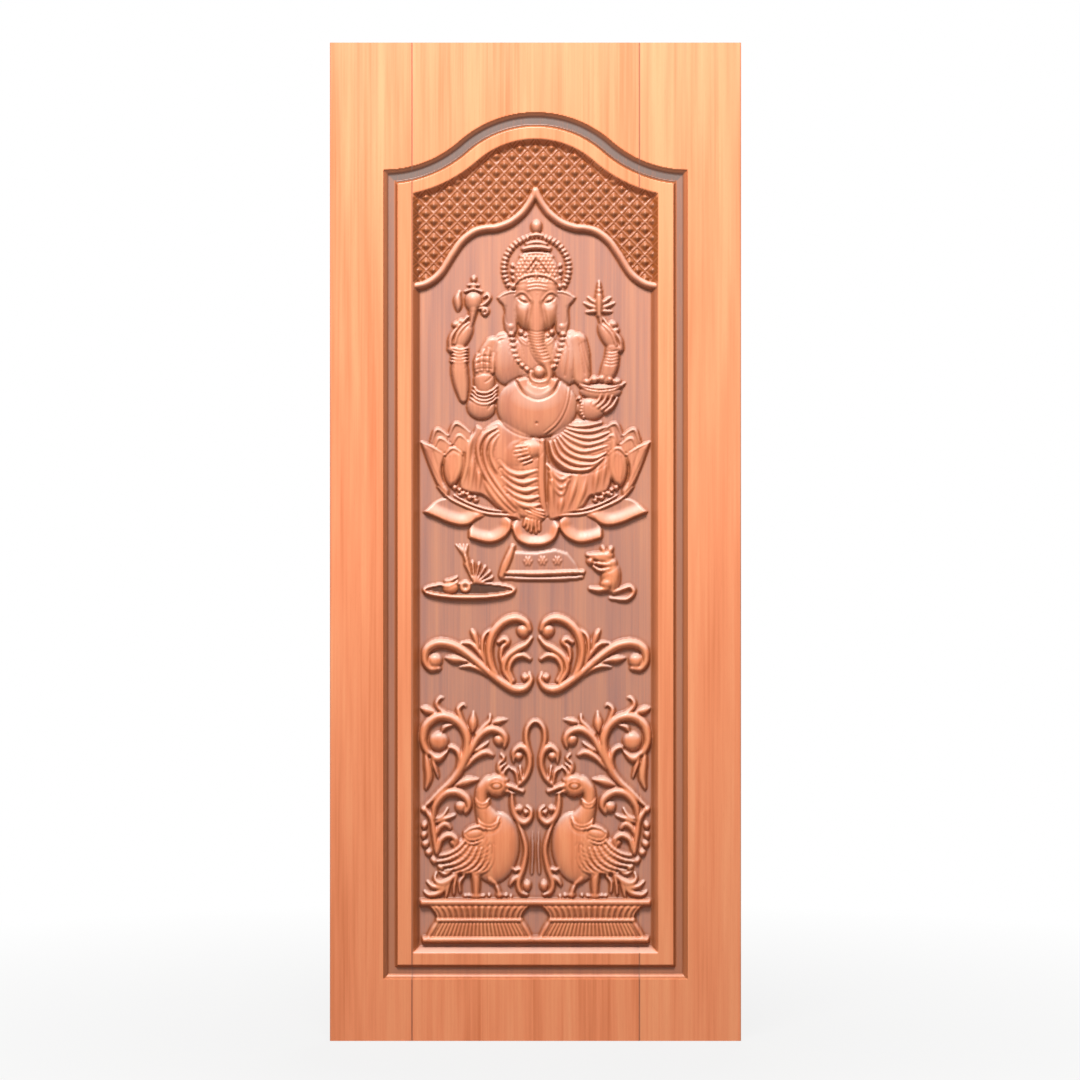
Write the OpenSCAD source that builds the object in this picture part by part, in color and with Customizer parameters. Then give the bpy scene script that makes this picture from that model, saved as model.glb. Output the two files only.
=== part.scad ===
// Carved temple door leaf: five edge-glued teak boards with one relief carved across them.
// Frame: +X right, +Z up, the carved face looks along -Y, origin at the middle of the bottom edge.

/* [Leaf] */
// Width of the leaf
door_w = 865; // [760:1:1000]
// Height of the leaf
door_h = 2100; // [1950:1:2300]
// Thickness of the leaf
door_t = 40; // [36:1:60]
// Chamfer on the four long outer edges
arris = 2; // [0.5:0.5:5]

/* [Boards] */
// Width of each of the three boards that carry the carved field
panel_board_w = 159.5; // [140:0.5:170]
// How far the three boards stand right of the centre line
panel_boards_shift = -20.5; // [-30:0.5:30]
// Thickness of the tongues
tongue_t = 8; // [5:0.5:10]
// How far a tongue stands out of its board
tongue_w = 10; // [6:0.5:14]
// Middle of the tongues, from the back face
tongue_from_back = 11; // [9:0.5:12]
// Room left for glue on each side of a tongue
tongue_side_gap = 0.1; // [0.05:0.05:0.3]
// Room left for glue at the end of a tongue
tongue_end_gap = 0.5; // [0.2:0.1:1]
// Depth of the fine V along the two outer joints
seam_v = 1; // [0.4:0.1:1.5]

/* [Frame mouldings] */
// Width of the arched opening, at the outer edge of the groove
opening_w = 640; // [600:1:680]
// Plain border below the groove
bottom_border = 130; // [100:1:170]
// Plain border above the crown of the arch
crown_border = 147; // [110:1:180]
// Rise of the arch from its shoulders to its crown
arch_rise = 121; // [80:1:150]
// Width of the groove, from the border to the flat band
groove_w = 30; // [26:1:36]
// Depth of the groove
groove_depth = 8; // [5:0.5:12]
// Width of the rounded bead on the border side of the groove
bead_w = 10; // [6:0.5:14]
// Width of the slope up to the band
groove_slope_w = 5; // [2:0.5:8]
// Width of the flat band at the sides
band_side_w = 32; // [24:1:40]
// Width of the flat band at the arch and at the foot
band_end_w = 25; // [18:1:34]
// Width of the sloping wall down to the field
wall_w = 13; // [8:1:18]
// Depth of the field below the face
field_depth = 18; // [14:0.5:22]

/* [Carving] */
// How far the highest carving stays below the face
relief_guard = 2; // [1:0.5:4]
// Width of a lattice cell
lattice_cell_w = 33; // [26:0.5:44]
// Height of a lattice cell
lattice_cell_h = 34.3; // [26:0.1:44]
// Height of a stud
stud_rise = 8; // [4:0.5:10]
// Half width of the bracket arch moulding
bracket_half_w = 8; // [6:0.5:11]
// Height of the bracket arch moulding
bracket_rise = 13; // [8:0.5:15]
// Radius of the bead halo round the head
halo_r = 71; // [66:1:76]
// Pitch of the beads along the halo
halo_pitch = 13; // [8:0.5:16]

/* [Hidden] */

front = -door_t / 2;
back = door_t / 2;
// How far cutters stand out of the face, and how far carving is rooted in the field
proud = 1;
sink = 2;

// Joint lines, from left to right
joint_x = [for (i = [0:3]) panel_boards_shift + (i - 1.5) * panel_board_w];
last_board = len(joint_x);

// Field floor at the end of the sloping walls
field_half_w = opening_w / 2 - groove_w - band_side_w - wall_w;
end_inset = groove_w + band_end_w + wall_w;
field_foot = bottom_border + end_inset;
field_crown = door_h - crown_border - end_inset;

// Size of the drawing that the relief was set out on, stretched to the field
drawing_half_w = 245;
drawing_foot = 198;
drawing_crown = 1885;
drawing_rise = 16;
stretch_x = field_half_w / drawing_half_w;
stretch_y = (field_crown - field_foot) / (drawing_crown - drawing_foot);
stretch_rise = (field_depth - relief_guard) / drawing_rise;

// Ogee arch: one arc over the crown, and one swung the other way over each shoulder
opening_half_w = opening_w / 2;
crown_y = door_h - crown_border;
shoulder_y = crown_y - arch_rise;
arc_r = (opening_half_w ^ 2 + arch_rise ^ 2) / (4 * arch_rise);
crown_centre = [0, crown_y - arc_r];
shoulder_centre = [opening_half_w, shoulder_y + arc_r];
turn_angle = atan2(shoulder_centre[1] - crown_centre[1], shoulder_centre[0]);
crown_steps = 8;
shoulder_steps = 5;

function mirrored_path(path) = [for (i = [len(path) - 1:-1:0]) [-path[i][0], path[i][1]]];

// Right half of the arch, from the shoulder up to the crown, moved inwards
function half_arch(at_side, at_end) =
    let (
        r_low = arc_r + at_end,
        r_top = arc_r - at_end,
        from = -180 + acos(at_side / r_low),
        to = turn_angle - 180
    )
    [
        for (k = [0:shoulder_steps])
            let (a = from + (to - from) * k / shoulder_steps)
            shoulder_centre + r_low * [cos(a), sin(a)],
        for (k = [1:crown_steps / 2])
            let (a = turn_angle + (90 - turn_angle) * k / (crown_steps / 2))
            crown_centre + r_top * [cos(a), sin(a)]
    ];

// Closed outline of the opening, moved inwards by one amount at the sides and another at the ends
function opening_outline(at_side, at_end) =
    let (
        right = half_arch(at_side, at_end),
        left = mirrored_path(right),
        x = opening_half_w - at_side,
        y = bottom_border + at_end
    )
    concat([[-x, y], [x, y]], right, [for (i = [1:len(left) - 1]) left[i]]);

// Flattens rings of points into one list, and joins each ring to the next with quads
function ring_points(rings) = [for (ring = rings) for (p = ring) p];
function ring_faces(count, size, closed) = [
    for (i = [0:count - (closed ? 1 : 2)])
        for (k = [0:size - 1])
            let (j = (i + 1) % count, m = (k + 1) % size)
            [i * size + k, j * size + k, j * size + m, i * size + m]
];
function cap(first, size) = [for (k = [0:size - 1]) first + k];
function cap_turned(first, size) = [for (k = [size - 1:-1:0]) first + k];
function reversed(list) = [for (i = [len(list) - 1:-1:0]) list[i]];
function lifted(outline, z) = [for (p = outline) [p[0], p[1], z]];

// Stands a drawing made in X and Y, with its rise along Z, up as the face of the leaf
module stand() {
    translate([0, front, 0])
        rotate([90, 0, 0])
            children();
}

// Groove profile as inset from the border and depth, ending above the face
groove_profile = [
    [0, -proud],
    [0, groove_depth * 0.25],
    [bead_w * 0.45, groove_depth * 0.35],
    [bead_w * 0.8, groove_depth * 0.65],
    [bead_w, groove_depth],
    [groove_w - groove_slope_w, groove_depth],
    [groove_w, 0],
    [groove_w, -proud]
];

module groove_cut() {
    rings = [for (p = reversed(groove_profile)) lifted(opening_outline(p[0], p[0]), -p[1])];
    polyhedron(ring_points(rings), ring_faces(len(rings), len(rings[0]), true), convexity = 8);
}

module field_cut() {
    side = groove_w + band_side_w;
    end = groove_w + band_end_w;
    rings = [
        lifted(opening_outline(side + wall_w, end + wall_w), -field_depth),
        lifted(opening_outline(side, end), 0),
        lifted(opening_outline(side, end), proud)
    ];
    size = len(rings[0]);
    faces = concat([cap(0, size)], ring_faces(3, size, false), [cap_turned(2 * size, size)]);
    polyhedron(ring_points(rings), faces, convexity = 4);
}

// Smooth curve through a few points, each with its half width and rise
function blend(a, b, c, d, t) =
    0.5 * (2 * b + (c - a) * t + (2 * a - 5 * b + 4 * c - d) * t ^ 2 + (3 * b - a - 3 * c + d) * t ^ 3);
function at(path, i) = path[max(0, min(len(path) - 1, i))];
function curve(path, steps) = [
    for (i = [0:len(path) - 2])
        for (k = [0:steps - 1])
            blend(at(path, i - 1), path[i], path[i + 1], at(path, i + 2), k / steps),
    path[len(path) - 1]
];
function sized(path, half_w, rise) = [for (p = path) [p[0], p[1], half_w, rise]];

ridge_section = [[-1, 0], [0, 1], [1, 0]];
round_section = [[-1, 0], [-0.5, 0.95], [0.5, 0.95], [1, 0]];

// A strand of carving: its section follows the path, and its foot is sunk into the field
module strand(path, steps = 1, section = ridge_section) {
    line = curve(path, steps);
    size = len(section);
    rings = [
        for (i = [0:len(line) - 1])
            let (
                p = line[i],
                along = at(line, i + 1) - at(line, i - 1),
                across = [along[1], -along[0]] / norm([along[0], along[1]])
            )
            [
                for (q = section)
                    let (off = across * q[0] * p[2])
                    [p[0] + off[0], p[1] + off[1], q[1] > 0 ? q[1] * p[3] : -sink]
            ]
    ];
    faces = concat(
        [cap(0, size)],
        ring_faces(len(rings), size, false),
        [cap_turned((len(rings) - 1) * size, size)]
    );
    polyhedron(ring_points(rings), faces, convexity = 6);
}

module strands(paths, steps = 1, section = ridge_section) {
    for (path = paths)
        strand(path, steps, section);
}

// A domed boss: middle, half width, half height, rise and turn
module boss(b) {
    girth = b[2] + b[3];
    sides = girth > 80 ? 12 : girth > 30 ? 8 : 5;
    levels = girth > 110 ? [0, 36, 64] : girth > 17 ? [0, 48] : [0];
    turn = len(b) > 5 ? b[5] : 0;
    rings = [
        for (a = levels)
            [
                for (k = [0:sides - 1])
                    let (t = 360 * k / sides)
                    [cos(a) * b[2] * cos(t), cos(a) * b[3] * sin(t), a > 0 ? sin(a) * b[4] : -sink]
            ]
    ];
    top = len(rings) * sides;
    faces = concat(
        [cap(0, sides)],
        ring_faces(len(rings), sides, false),
        [for (k = [0:sides - 1]) [top - sides + k, top, top - sides + (k + 1) % sides]]
    );
    translate([b[0], b[1], 0])
        rotate(turn)
            polyhedron(concat(ring_points(rings), [[0, 0, b[4]]]), faces, convexity = 2);
}

module bosses(list) {
    for (b = list)
        boss(b);
}

// A rounded limb between two bosses
module limb(from, to) {
    hull() {
        boss(from);
        boss(to);
    }
}

// A flat plate of an outline
module plate(outline, rise) {
    translate([0, 0, -sink])
        linear_extrude(rise + sink)
            polygon(outline);
}

module pair() {
    children();
    mirror([1, 0, 0])
        children();
}

// Bracket arch over the figure, left half from the wall to the apex
bracket_path = [
    [-262, 1588], [-231, 1594], [-202, 1615], [-176, 1655], [-155, 1684], [-129, 1704],
    [-104, 1711], [-82, 1713], [-53, 1724], [-28, 1744], [-10, 1769], [0, 1790]
];
lattice_origin = [0, 1845];
// How far the lattice runs on under the wall
lattice_tuck = 15;
// How far the valleys between the studs stay above the field
valley_rise = 0.6;

module lattice() {
    columns = ceil(drawing_half_w / lattice_cell_w * 2) + 1;
    rows = ceil((drawing_crown - bracket_path[0][1]) / lattice_cell_h) + 2;
    half_w = lattice_cell_w / 2;
    half_h = lattice_cell_h / 2;
    side = -bracket_path[0][0];
    top = [[side, drawing_crown + lattice_tuck], [-side, drawing_crown + lattice_tuck]];
    foot = [[-half_w, 0], [0, -half_h], [half_w, 0], [0, half_h]] * (1 + valley_rise / stud_rise);
    intersection() {
        plate(concat(bracket_path, mirrored_path(bracket_path), top), stud_rise + sink);
        for (i = [-columns:columns])
            for (j = [-2 * rows:3])
                if ((i + j) % 2 == 0)
                    translate(lattice_origin + [i * half_w, j * half_h])
                        stud(foot);
    }
}

// A low pyramid on a diamond foot, carried on down below the field
module stud(foot) {
    deep = 1 + sink / stud_rise;
    points = concat(lifted(foot * deep, -sink), [[0, 0, stud_rise]]);
    polyhedron(points, concat([cap(0, 4)], [for (k = [0:3]) [k, 4, (k + 1) % 4]]));
}

module bracket_arch() {
    pair()
        strand(sized(bracket_path, bracket_half_w, bracket_rise), 1, round_section);
}

// Beads on an arc round the head, from one ear over the crown to the other
module halo() {
    centre = [2, 1625];
    sweep = 244;
    count = floor(sweep / 360 * 2 * PI * halo_r / halo_pitch);
    for (k = [0:count])
        let (a = 90 + sweep * (k / count - 0.5))
        boss([centre[0] + halo_r * cos(a), centre[1] + halo_r * sin(a), 7, halo_pitch * 0.48, 8, a]);
}

// Crown, head with the trunk, ears and chest ornaments
crown_bosses = [[2, 1714, 11, 14, 13], [1, 1628, 46, 34, 13]];
crown_strands = [
    [[-18, 1697, 4, 9], [2, 1700, 5, 12], [20, 1697, 4, 9]],
    [[-24, 1683, 5, 9], [2, 1690, 7, 14], [26, 1683, 5, 9]],
    [[-36, 1657, 4, 8], [-18, 1668, 9, 13], [2, 1671, 10, 15], [22, 1668, 9, 13], [38, 1657, 4, 8]],
    [[-48, 1588, 4, 10], [-26, 1609, 5, 14], [2, 1614, 6, 15], [28, 1609, 5, 14], [48, 1588, 4, 10]]
];
head_bosses = [
    [1, 1548, 45, 62, 13],
    [-46, 1588, 7, 7, 13],
    [49, 1588, 7, 7, 13],
    [-25, 1559, 11, 6, 15],
    [28, 1559, 11, 6, 15]
];
ear = [
    [-44, 1577], [-62, 1578], [-79, 1567], [-82, 1557], [-70, 1546], [-67, 1522], [-66, 1500],
    [-58, 1489], [-40, 1500]
];
trunk = [
    [2, 1530, 15, 15], [2, 1500, 20, 15], [3, 1472, 17, 15], [11, 1446, 16, 15], [25, 1424, 12, 14],
    [30, 1404, 9, 13], [21, 1388, 8, 12], [5, 1384, 7, 12], [-8, 1393, 6, 11], [-9, 1408, 5, 9]
];
chest_bosses = [[-58, 1435, 36, 55, 10], [62, 1435, 38, 55, 10], [8, 1407, 12, 12, 13]];
chest_strands = [
    [[-44, 1396, 3, 11], [-30, 1369, 6, 15], [2, 1357, 8, 16], [30, 1369, 6, 15], [46, 1396, 3, 11]],
    [[68, 1386, 3, 14], [64, 1345, 3, 16], [48, 1308, 3, 15], [22, 1279, 3, 12]]
];
necklace = [[-55, 1490], [-53, 1468], [-47, 1446], [-36, 1428]];

module head() {
    bosses(crown_bosses);
    strands(crown_strands);
    bosses(head_bosses);
    translate([2, 0, 0])
        pair()
            plate(ear, 7);
    strand(trunk, 1, round_section);
    bosses(chest_bosses);
    strands(chest_strands);
    translate([2, 0, 0])
        pair()
            for (p = necklace)
                boss([p[0], p[1], 9, 6, 13, 15]);
}

// Four arms, each from the shoulder to what it holds
left_arm_bosses = [
    [-155, 1489, 16, 32, 12, -28],
    [-164, 1507, 11, 9, 13],
    [-113, 1334, 31, 27, 12]
];
left_arm_strands = [
    [[-134, 1353, 4, 12], [-108, 1342, 5, 15], [-84, 1352, 4, 12]],
    [[-132, 1364, 4, 12], [-106, 1354, 5, 15], [-84, 1363, 4, 12]],
    [[-122, 1410, 6, 12], [-122, 1432, 6, 12], [-116, 1448, 4, 9]],
    [[-110, 1412, 6, 13], [-109, 1440, 6, 12], [-105, 1460, 4, 9]],
    [[-97, 1412, 6, 13], [-96, 1438, 6, 12], [-94, 1456, 4, 9]],
    [[-170, 1478, 4, 13], [-155, 1503, 4, 14], [-141, 1524, 3, 9]]
];
pot_bosses = [[-131, 1556, 18, 22, 14], [-131, 1591, 9, 13, 11]];
pot_strands = [
    [[-131, 1540, 10, 12], [-133, 1522, 5, 10], [-136, 1504, 3, 8]],
    [[-159, 1576, 2, 5], [-162, 1558, 9, 9], [-163, 1537, 2, 5]],
    [[-119, 1546, 3, 8], [-98, 1556, 5, 9], [-108, 1568, 3, 7]],
    [[-117, 1541, 3, 8], [-107, 1531, 6, 8]]
];
right_arm_bosses = [
    [153, 1483, 16, 33, 12, 28],
    [158, 1424, 16, 40, 12, -10],
    [164, 1505, 10, 10, 13],
    [120, 1332, 30, 24, 12],
    [137, 1364, 38, 16, 12]
];
right_arm_strands = [
    [[130, 1332, 4, 13], [146, 1340, 4, 13], [160, 1358, 3, 10]],
    [[138, 1325, 4, 12], [156, 1334, 4, 12], [170, 1352, 3, 9]],
    [[91, 1381, 3, 10], [137, 1375, 5, 15], [185, 1382, 3, 10]],
    [[168, 1475, 4, 13], [158, 1500, 4, 14], [143, 1523, 3, 9]]
];
sweets = [[112, 1388], [137, 1392], [162, 1388]];
flower_bosses = [[134, 1578, 7, 9, 11]];
flower_strands = [
    [[134, 1597, 1, 5], [134, 1562, 10, 13], [134, 1540, 9, 13], [138, 1505, 3, 8]],
    [[134, 1540, 5, 11], [118, 1541, 6, 10], [101, 1550, 2, 5]],
    [[134, 1540, 5, 11], [150, 1541, 6, 10], [166, 1551, 2, 5]]
];

module arms() {
    limb([-88, 1462, 18, 18, 11], [-112, 1385, 18, 20, 10]);
    limb([-151, 1366, 12, 14, 9], [-160, 1436, 17, 20, 12]);
    limb([-105, 1378, 20, 20, 14], [-106, 1408, 19, 14, 13]);
    limb([86, 1466, 22, 18, 12], [94, 1392, 20, 18, 11]);
    limb([92, 1400, 18, 18, 10], [120, 1330, 26, 20, 11]);
    bosses(left_arm_bosses);
    strands(left_arm_strands);
    bosses(pot_bosses);
    strands(pot_strands);
    bosses(right_arm_bosses);
    strands(right_arm_strands);
    bosses([for (p = sweets) [p[0], p[1], 13, 8, 12]]);
    bosses(flower_bosses);
    strands(flower_strands);
}

// Belly, folded leg, hanging leg and the cloth over them
body_bosses = [
    [2, 1333, 86, 62, 16],
    [-66, 1236, 64, 70, 12],
    [93, 1252, 68, 58, 13],
    [-18, 1242, 26, 21, 16]
];
fold_strands = [
    [[-68, 1218, 3, 12], [-50, 1196, 5, 15], [-26, 1189, 5, 15], [0, 1198, 3, 11]],
    [[-73, 1188, 3, 11], [-48, 1165, 6, 14], [-22, 1158, 6, 14], [0, 1164, 3, 11]],
    [[-74, 1156, 3, 9], [-48, 1134, 6, 12], [-20, 1125, 6, 12], [8, 1128, 3, 9]],
    [[70, 1288, 2, 13], [105, 1282, 5, 16], [142, 1294, 3, 11]],
    [[60, 1276, 2, 13], [105, 1263, 5, 16], [148, 1275, 3, 10]],
    [[48, 1266, 2, 12], [90, 1237, 5, 15], [150, 1252, 3, 9]],
    [[40, 1258, 2, 12], [72, 1220, 5, 14], [118, 1214, 5, 13], [148, 1235, 3, 8]],
    [[22, 1262, 3, 11], [40, 1216, 6, 12], [76, 1198, 6, 12], [112, 1206, 3, 8]]
];
drape_strands = [
    [[-132, 1292, 5, 7], [-146, 1240, 8, 9], [-153, 1190, 8, 9], [-160, 1164, 5, 7]],
    [[-122, 1236, 8, 9], [-131, 1160, 10, 9]],
    [[-112, 1206, 5, 7], [-97, 1160, 9, 9], [-70, 1118, 7, 8], [-40, 1098, 3, 6]],
    [[12, 1226, 8, 11], [11, 1180, 9, 11], [16, 1140, 8, 10], [24, 1106, 5, 7]],
    [[54, 1190, 8, 9], [42, 1108, 6, 7]],
    [[96, 1192, 8, 9], [70, 1112, 6, 7]],
    [[152, 1270, 5, 7], [136, 1222, 9, 9], [126, 1180, 12, 10], [122, 1148, 7, 8]],
    [[166, 1280, 6, 7], [152, 1170, 8, 8]]
];

module body() {
    bosses(body_bosses);
    strands(fold_strands);
    strands(drape_strands);
    limb([-2, 1112, 19, 14, 12], [-8, 1084, 17, 18, 11]);
    limb([-28, 1120, 12, 12, 10], [-60, 1160, 16, 18, 10]);
}

// Lotus seat: petals that stand up behind, the rim, and petals that hang below
lotus_pair_strands = [
    [[-242, 1260, 1, 4], [-224, 1222, 11, 8], [-206, 1182, 15, 10], [-182, 1148, 4, 7]],
    [[-174, 1256, 1, 6], [-178, 1218, 18, 12], [-180, 1184, 18, 12], [-174, 1164, 6, 8]],
    [[-206, 1236, 6, 6], [-192, 1264, 12, 8], [-170, 1298, 2, 4]],
    [[-176, 1246, 5, 6], [-156, 1268, 11, 8], [-136, 1290, 2, 4]],
    [[-206, 1166, 3, 7], [-164, 1132, 5, 10], [-112, 1112, 5, 10], [-60, 1106, 5, 9], [-30, 1102, 3, 6]],
    [[-238, 1112, 1, 4], [-190, 1114, 25, 8], [-148, 1104, 20, 9], [-108, 1108, 4, 7]],
    [[-143, 1058, 2, 5], [-116, 1076, 22, 9], [-80, 1079, 25, 10], [-52, 1088, 8, 7]]
];

module lotus() {
    pair()
        strands(lotus_pair_strands);
    boss([0, 1071, 50, 31, 8]);
}

// Offering tray with a pot, a cup and a fan of stems
tray_centre = [-140, 947];
tray_radii = [98, 19];
tray_rim_w = 8;
tray_rim_rise = 10;
tray_floor = 3;
tray_sides = 18;
tray_bosses = [[-181, 952, 17, 13, 11], [-148, 955, 12, 12, 12]];
fan_foot = [-131, 962];
fan_tips = [[-95, 980], [-107, 996], [-124, 1002], [-146, 1000]];
brush = [[-138, 985, 4, 9], [-146, 1010, 5, 9], [-157, 1038, 9, 7]];

function ellipse(centre, radii, sides) = [
    for (k = [0:sides - 1])
        let (a = 360 * k / sides)
        [centre[0] + radii[0] * cos(a), centre[1] + radii[1] * sin(a)]
];

module tray() {
    difference() {
        plate(ellipse(tray_centre, tray_radii, tray_sides), tray_rim_rise);
        translate([0, 0, tray_floor + sink])
            plate(ellipse(tray_centre, tray_radii - tray_rim_w * [1, 1], tray_sides), tray_rim_rise);
    }
    bosses(tray_bosses);
    for (tip = fan_tips)
        strand([[fan_foot[0], fan_foot[1], 2, 8], [tip[0], tip[1], 4, 8]]);
    strand(brush);
}

// Spread cloth with a rolled edge and three plain rosettes
mat_outline = [[-66, 985], [-44, 1029], [42, 1032], [68, 1022], [92, 990], [92, 980]];
mat_strands = [
    [[-64, 982, 6, 9], [101, 985, 6, 9]],
    [[-70, 973, 5, 7], [97, 975, 5, 7]],
    [[-49, 1036, 7, 9], [-59, 1010, 8, 10], [-71, 980, 7, 9]]
];
rosette_places = [[-16, 1010], [14, 1011], [44, 1010]];

module mat() {
    plate(mat_outline, 5);
    strands(mat_strands);
    for (p = rosette_places)
        boss([p[0], p[1], 9, 9, 9]);
}

// Mouse that sits up with a sweet in its paws
mouse_bosses = [
    [158, 976, 20, 34, 14],
    [152, 962, 14, 11, 15],
    [155, 1004, 16, 13, 13],
    [128, 1020, 18, 9, 12, -8],
    [150, 1030, 13, 12, 11],
    [117, 1010, 8, 8, 11]
];
mouse_strands = [
    [[154, 1000, 4, 14], [134, 1002, 4, 13], [120, 1005, 3, 9]],
    [[154, 995, 5, 14], [130, 989, 4, 12], [121, 999, 3, 9]],
    [[117, 951, 6, 8], [134, 950, 7, 11], [152, 952, 6, 11]],
    [
        [164, 943, 5, 9], [184, 951, 5, 9], [201, 955, 5, 9], [207, 942, 5, 9], [190, 928, 5, 9],
        [157, 930, 3, 6]
    ]
];

module mouse() {
    bosses(mouse_bosses);
    strands(mouse_strands);
}

// Scroll pair, left half
scroll_main = [
    [
        [-206, 782, 4, 8], [-228, 788, 7, 10], [-230, 822, 8, 12], [-200, 838, 9, 13], [-160, 825, 9, 13],
        [-105, 781, 9, 13], [-62, 748, 10, 13], [-26, 740, 8, 12], [-11, 757, 5, 10]
    ],
    [
        [-72, 760, 6, 9], [-97, 808, 9, 13], [-88, 858, 9, 13], [-60, 886, 9, 13], [-26, 886, 8, 12],
        [-12, 868, 5, 9]
    ],
    [[-52, 752, 5, 10], [-66, 790, 8, 13], [-42, 824, 8, 13], [-9, 845, 5, 9]],
    [[-48, 760, 4, 9], [-55, 788, 6, 12], [-34, 813, 6, 12], [-12, 803, 4, 9]]
];
scroll_leaves = [
    [[-190, 805, 1, 3], [-170, 803, 9, 11], [-138, 800, 2, 5]],
    [[-158, 786, 2, 4], [-135, 787, 5, 10], [-103, 770, 3, 7]],
    [[-156, 838, 2, 4], [-128, 830, 6, 10], [-102, 788, 3, 7]],
    [[-96, 866, 2, 4], [-112, 834, 6, 10], [-102, 795, 3, 7]]
];
scroll_bosses = [
    [-212, 799, 15, 15, 11], [-27, 862, 14, 14, 11], [-22, 764, 8, 8, 10], [-128, 853, 8, 8, 9],
    [-70, 838, 8, 8, 10]
];

module scrolls() {
    pair() {
        strands(scroll_main);
        strands(scroll_leaves);
        bosses(scroll_bosses);
    }
}

// Vine on each side of the centre loop, left half
vine_main = [
    [
        [-232, 495, 4, 8], [-170, 553, 8, 12], [-146, 600, 9, 13], [-150, 652, 9, 13], [-182, 680, 9, 13],
        [-222, 672, 9, 13], [-237, 636, 8, 12], [-222, 604, 7, 11], [-190, 604, 4, 8]
    ],
    [
        [-150, 575, 4, 8], [-126, 632, 7, 12], [-95, 656, 8, 13], [-68, 646, 7, 12], [-66, 618, 4, 8]
    ],
    [
        [-216, 462, 5, 9], [-208, 502, 7, 12], [-180, 525, 8, 13], [-148, 513, 8, 12], [-146, 482, 5, 8]
    ],
    [[-208, 402, 7, 10], [-216, 460, 6, 10], [-232, 486, 7, 9]],
    [[-205, 405, 4, 8], [-194, 430, 7, 12], [-168, 424, 6, 11], [-171, 406, 3, 7]]
];
vine_leaves = [
    [[-150, 668, 5, 10], [-162, 688, 6, 10], [-149, 705, 2, 5]],
    [[-184, 687, 4, 9], [-204, 703, 6, 10], [-193, 721, 2, 5]],
    [[-241, 698, 1, 3], [-226, 696, 8, 10], [-206, 690, 2, 6]],
    [[-132, 648, 5, 9], [-132, 668, 9, 11], [-130, 692, 1, 3]],
    [[-124, 645, 3, 7], [-104, 663, 5, 10], [-98, 686, 2, 4]],
    [[-146, 573, 3, 7], [-124, 597, 6, 11], [-104, 607, 7, 11], [-88, 599, 3, 5]],
    [[-166, 572, 3, 7], [-159, 594, 6, 11], [-178, 614, 4, 7]],
    [[-233, 612, 2, 6], [-226, 566, 7, 10], [-230, 534, 3, 5]],
    [[-214, 368, 4, 7], [-228, 395, 8, 9], [-237, 452, 4, 6]],
    [[-211, 458, 4, 8], [-170, 472, 3, 5]],
    [[-211, 430, 4, 8], [-198, 453, 6, 10], [-179, 442, 3, 6]],
    [[-170, 536, 2, 6], [-145, 546, 9, 11], [-120, 548, 2, 6]]
];
vine_bosses = [
    [-204, 629, 20, 20, 11], [-76, 632, 12, 12, 11], [-157, 490, 12, 12, 11], [-36, 599, 8, 8, 10],
    [-18, 325, 8, 8, 10]
];
centre_strands = [
    [[-8, 600, 4, 8], [-20, 642, 5, 10], [1, 670, 4, 9]],
    [[-46, 594, 4, 9], [-32, 617, 6, 11], [-14, 602, 6, 11], [-16, 566, 6, 10], [-38, 534, 4, 7]],
    [[-50, 518, 4, 8], [-46, 480, 7, 11], [-24, 457, 7, 11], [-11, 480, 5, 8]],
    [[-38, 462, 4, 8], [-20, 410, 6, 10], [-30, 352, 6, 10], [-36, 320, 6, 9], [-18, 308, 4, 7]]
];

module vines() {
    pair() {
        strands(vine_main);
        strands(vine_leaves);
        bosses(vine_bosses);
        strands(centre_strands);
    }
}

// Goose with its neck bent back, left one
goose_bosses = [
    [-85, 404, 49, 74, 15, -4],
    [-138, 394, 42, 38, 13, 25],
    [-129, 434, 25, 15, 15.5, 14],
    [-84, 536, 25, 23, 15]
];
goose_neck = [
    [-98, 458, 24, 14], [-114, 492, 16, 14], [-113, 526, 14, 14], [-98, 546, 15, 14], [-82, 540, 17, 15]
];
goose_strands = [
    [[-66, 530, 9, 12], [-48, 527, 5, 10], [-24, 522, 2, 5]],
    [[-128, 508, 3, 12], [-113, 497, 4, 16], [-99, 504, 3, 12]],
    [[-119, 464, 3, 12], [-99, 449, 4, 16], [-76, 464, 3, 12]],
    [[-150, 420, 4, 13], [-172, 398, 7, 13], [-202, 386, 3, 6]],
    [[-146, 406, 4, 15], [-172, 383, 7, 13], [-206, 372, 3, 6]],
    [[-132, 396, 4, 16], [-158, 368, 8, 13], [-196, 358, 3, 5]],
    [[-108, 396, 4, 16], [-120, 364, 8, 15], [-160, 350, 4, 8]],
    [[-128, 352, 12, 12], [-125, 326, 9, 11], [-125, 300, 8, 10]],
    [[-94, 338, 8, 10], [-80, 322, 5, 9], [-76, 302, 5, 9]],
    [[-160, 352, 3, 8], [-186, 340, 8, 10], [-206, 348, 3, 5]],
    [[-172, 345, 3, 7], [-200, 322, 7, 10], [-228, 328, 3, 5]],
    [[-178, 338, 3, 7], [-195, 316, 6, 10], [-232, 308, 4, 6]],
    [[-160, 345, 5, 7], [-178, 302, 7, 7]]
];

module geese() {
    pair() {
        bosses(goose_bosses);
        strand(goose_neck, 1, round_section);
        strands(goose_strands);
    }
}

// Pedestal under each goose: slab, fluted hollow, ring, flared skirt and base slab
pedestal_slab = [[-240, 284], [1, 284], [1, 296], [-240, 296]];
pedestal_hollow = [[-207, 257], [-28, 257], [-14, 284], [-228, 284]];
pedestal_ring = [[-208, 249], [-26, 249], [-26, 257], [-208, 257]];
pedestal_skirt = [[-226, 218], [-8, 218], [-27, 249], [-207, 249]];
pedestal_base = [[-238, 206], [-2, 206], [-2, 218], [-238, 218]];
flute_count = 11;
flute_rise = 11;
valley_of_flutes = 5;

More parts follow.
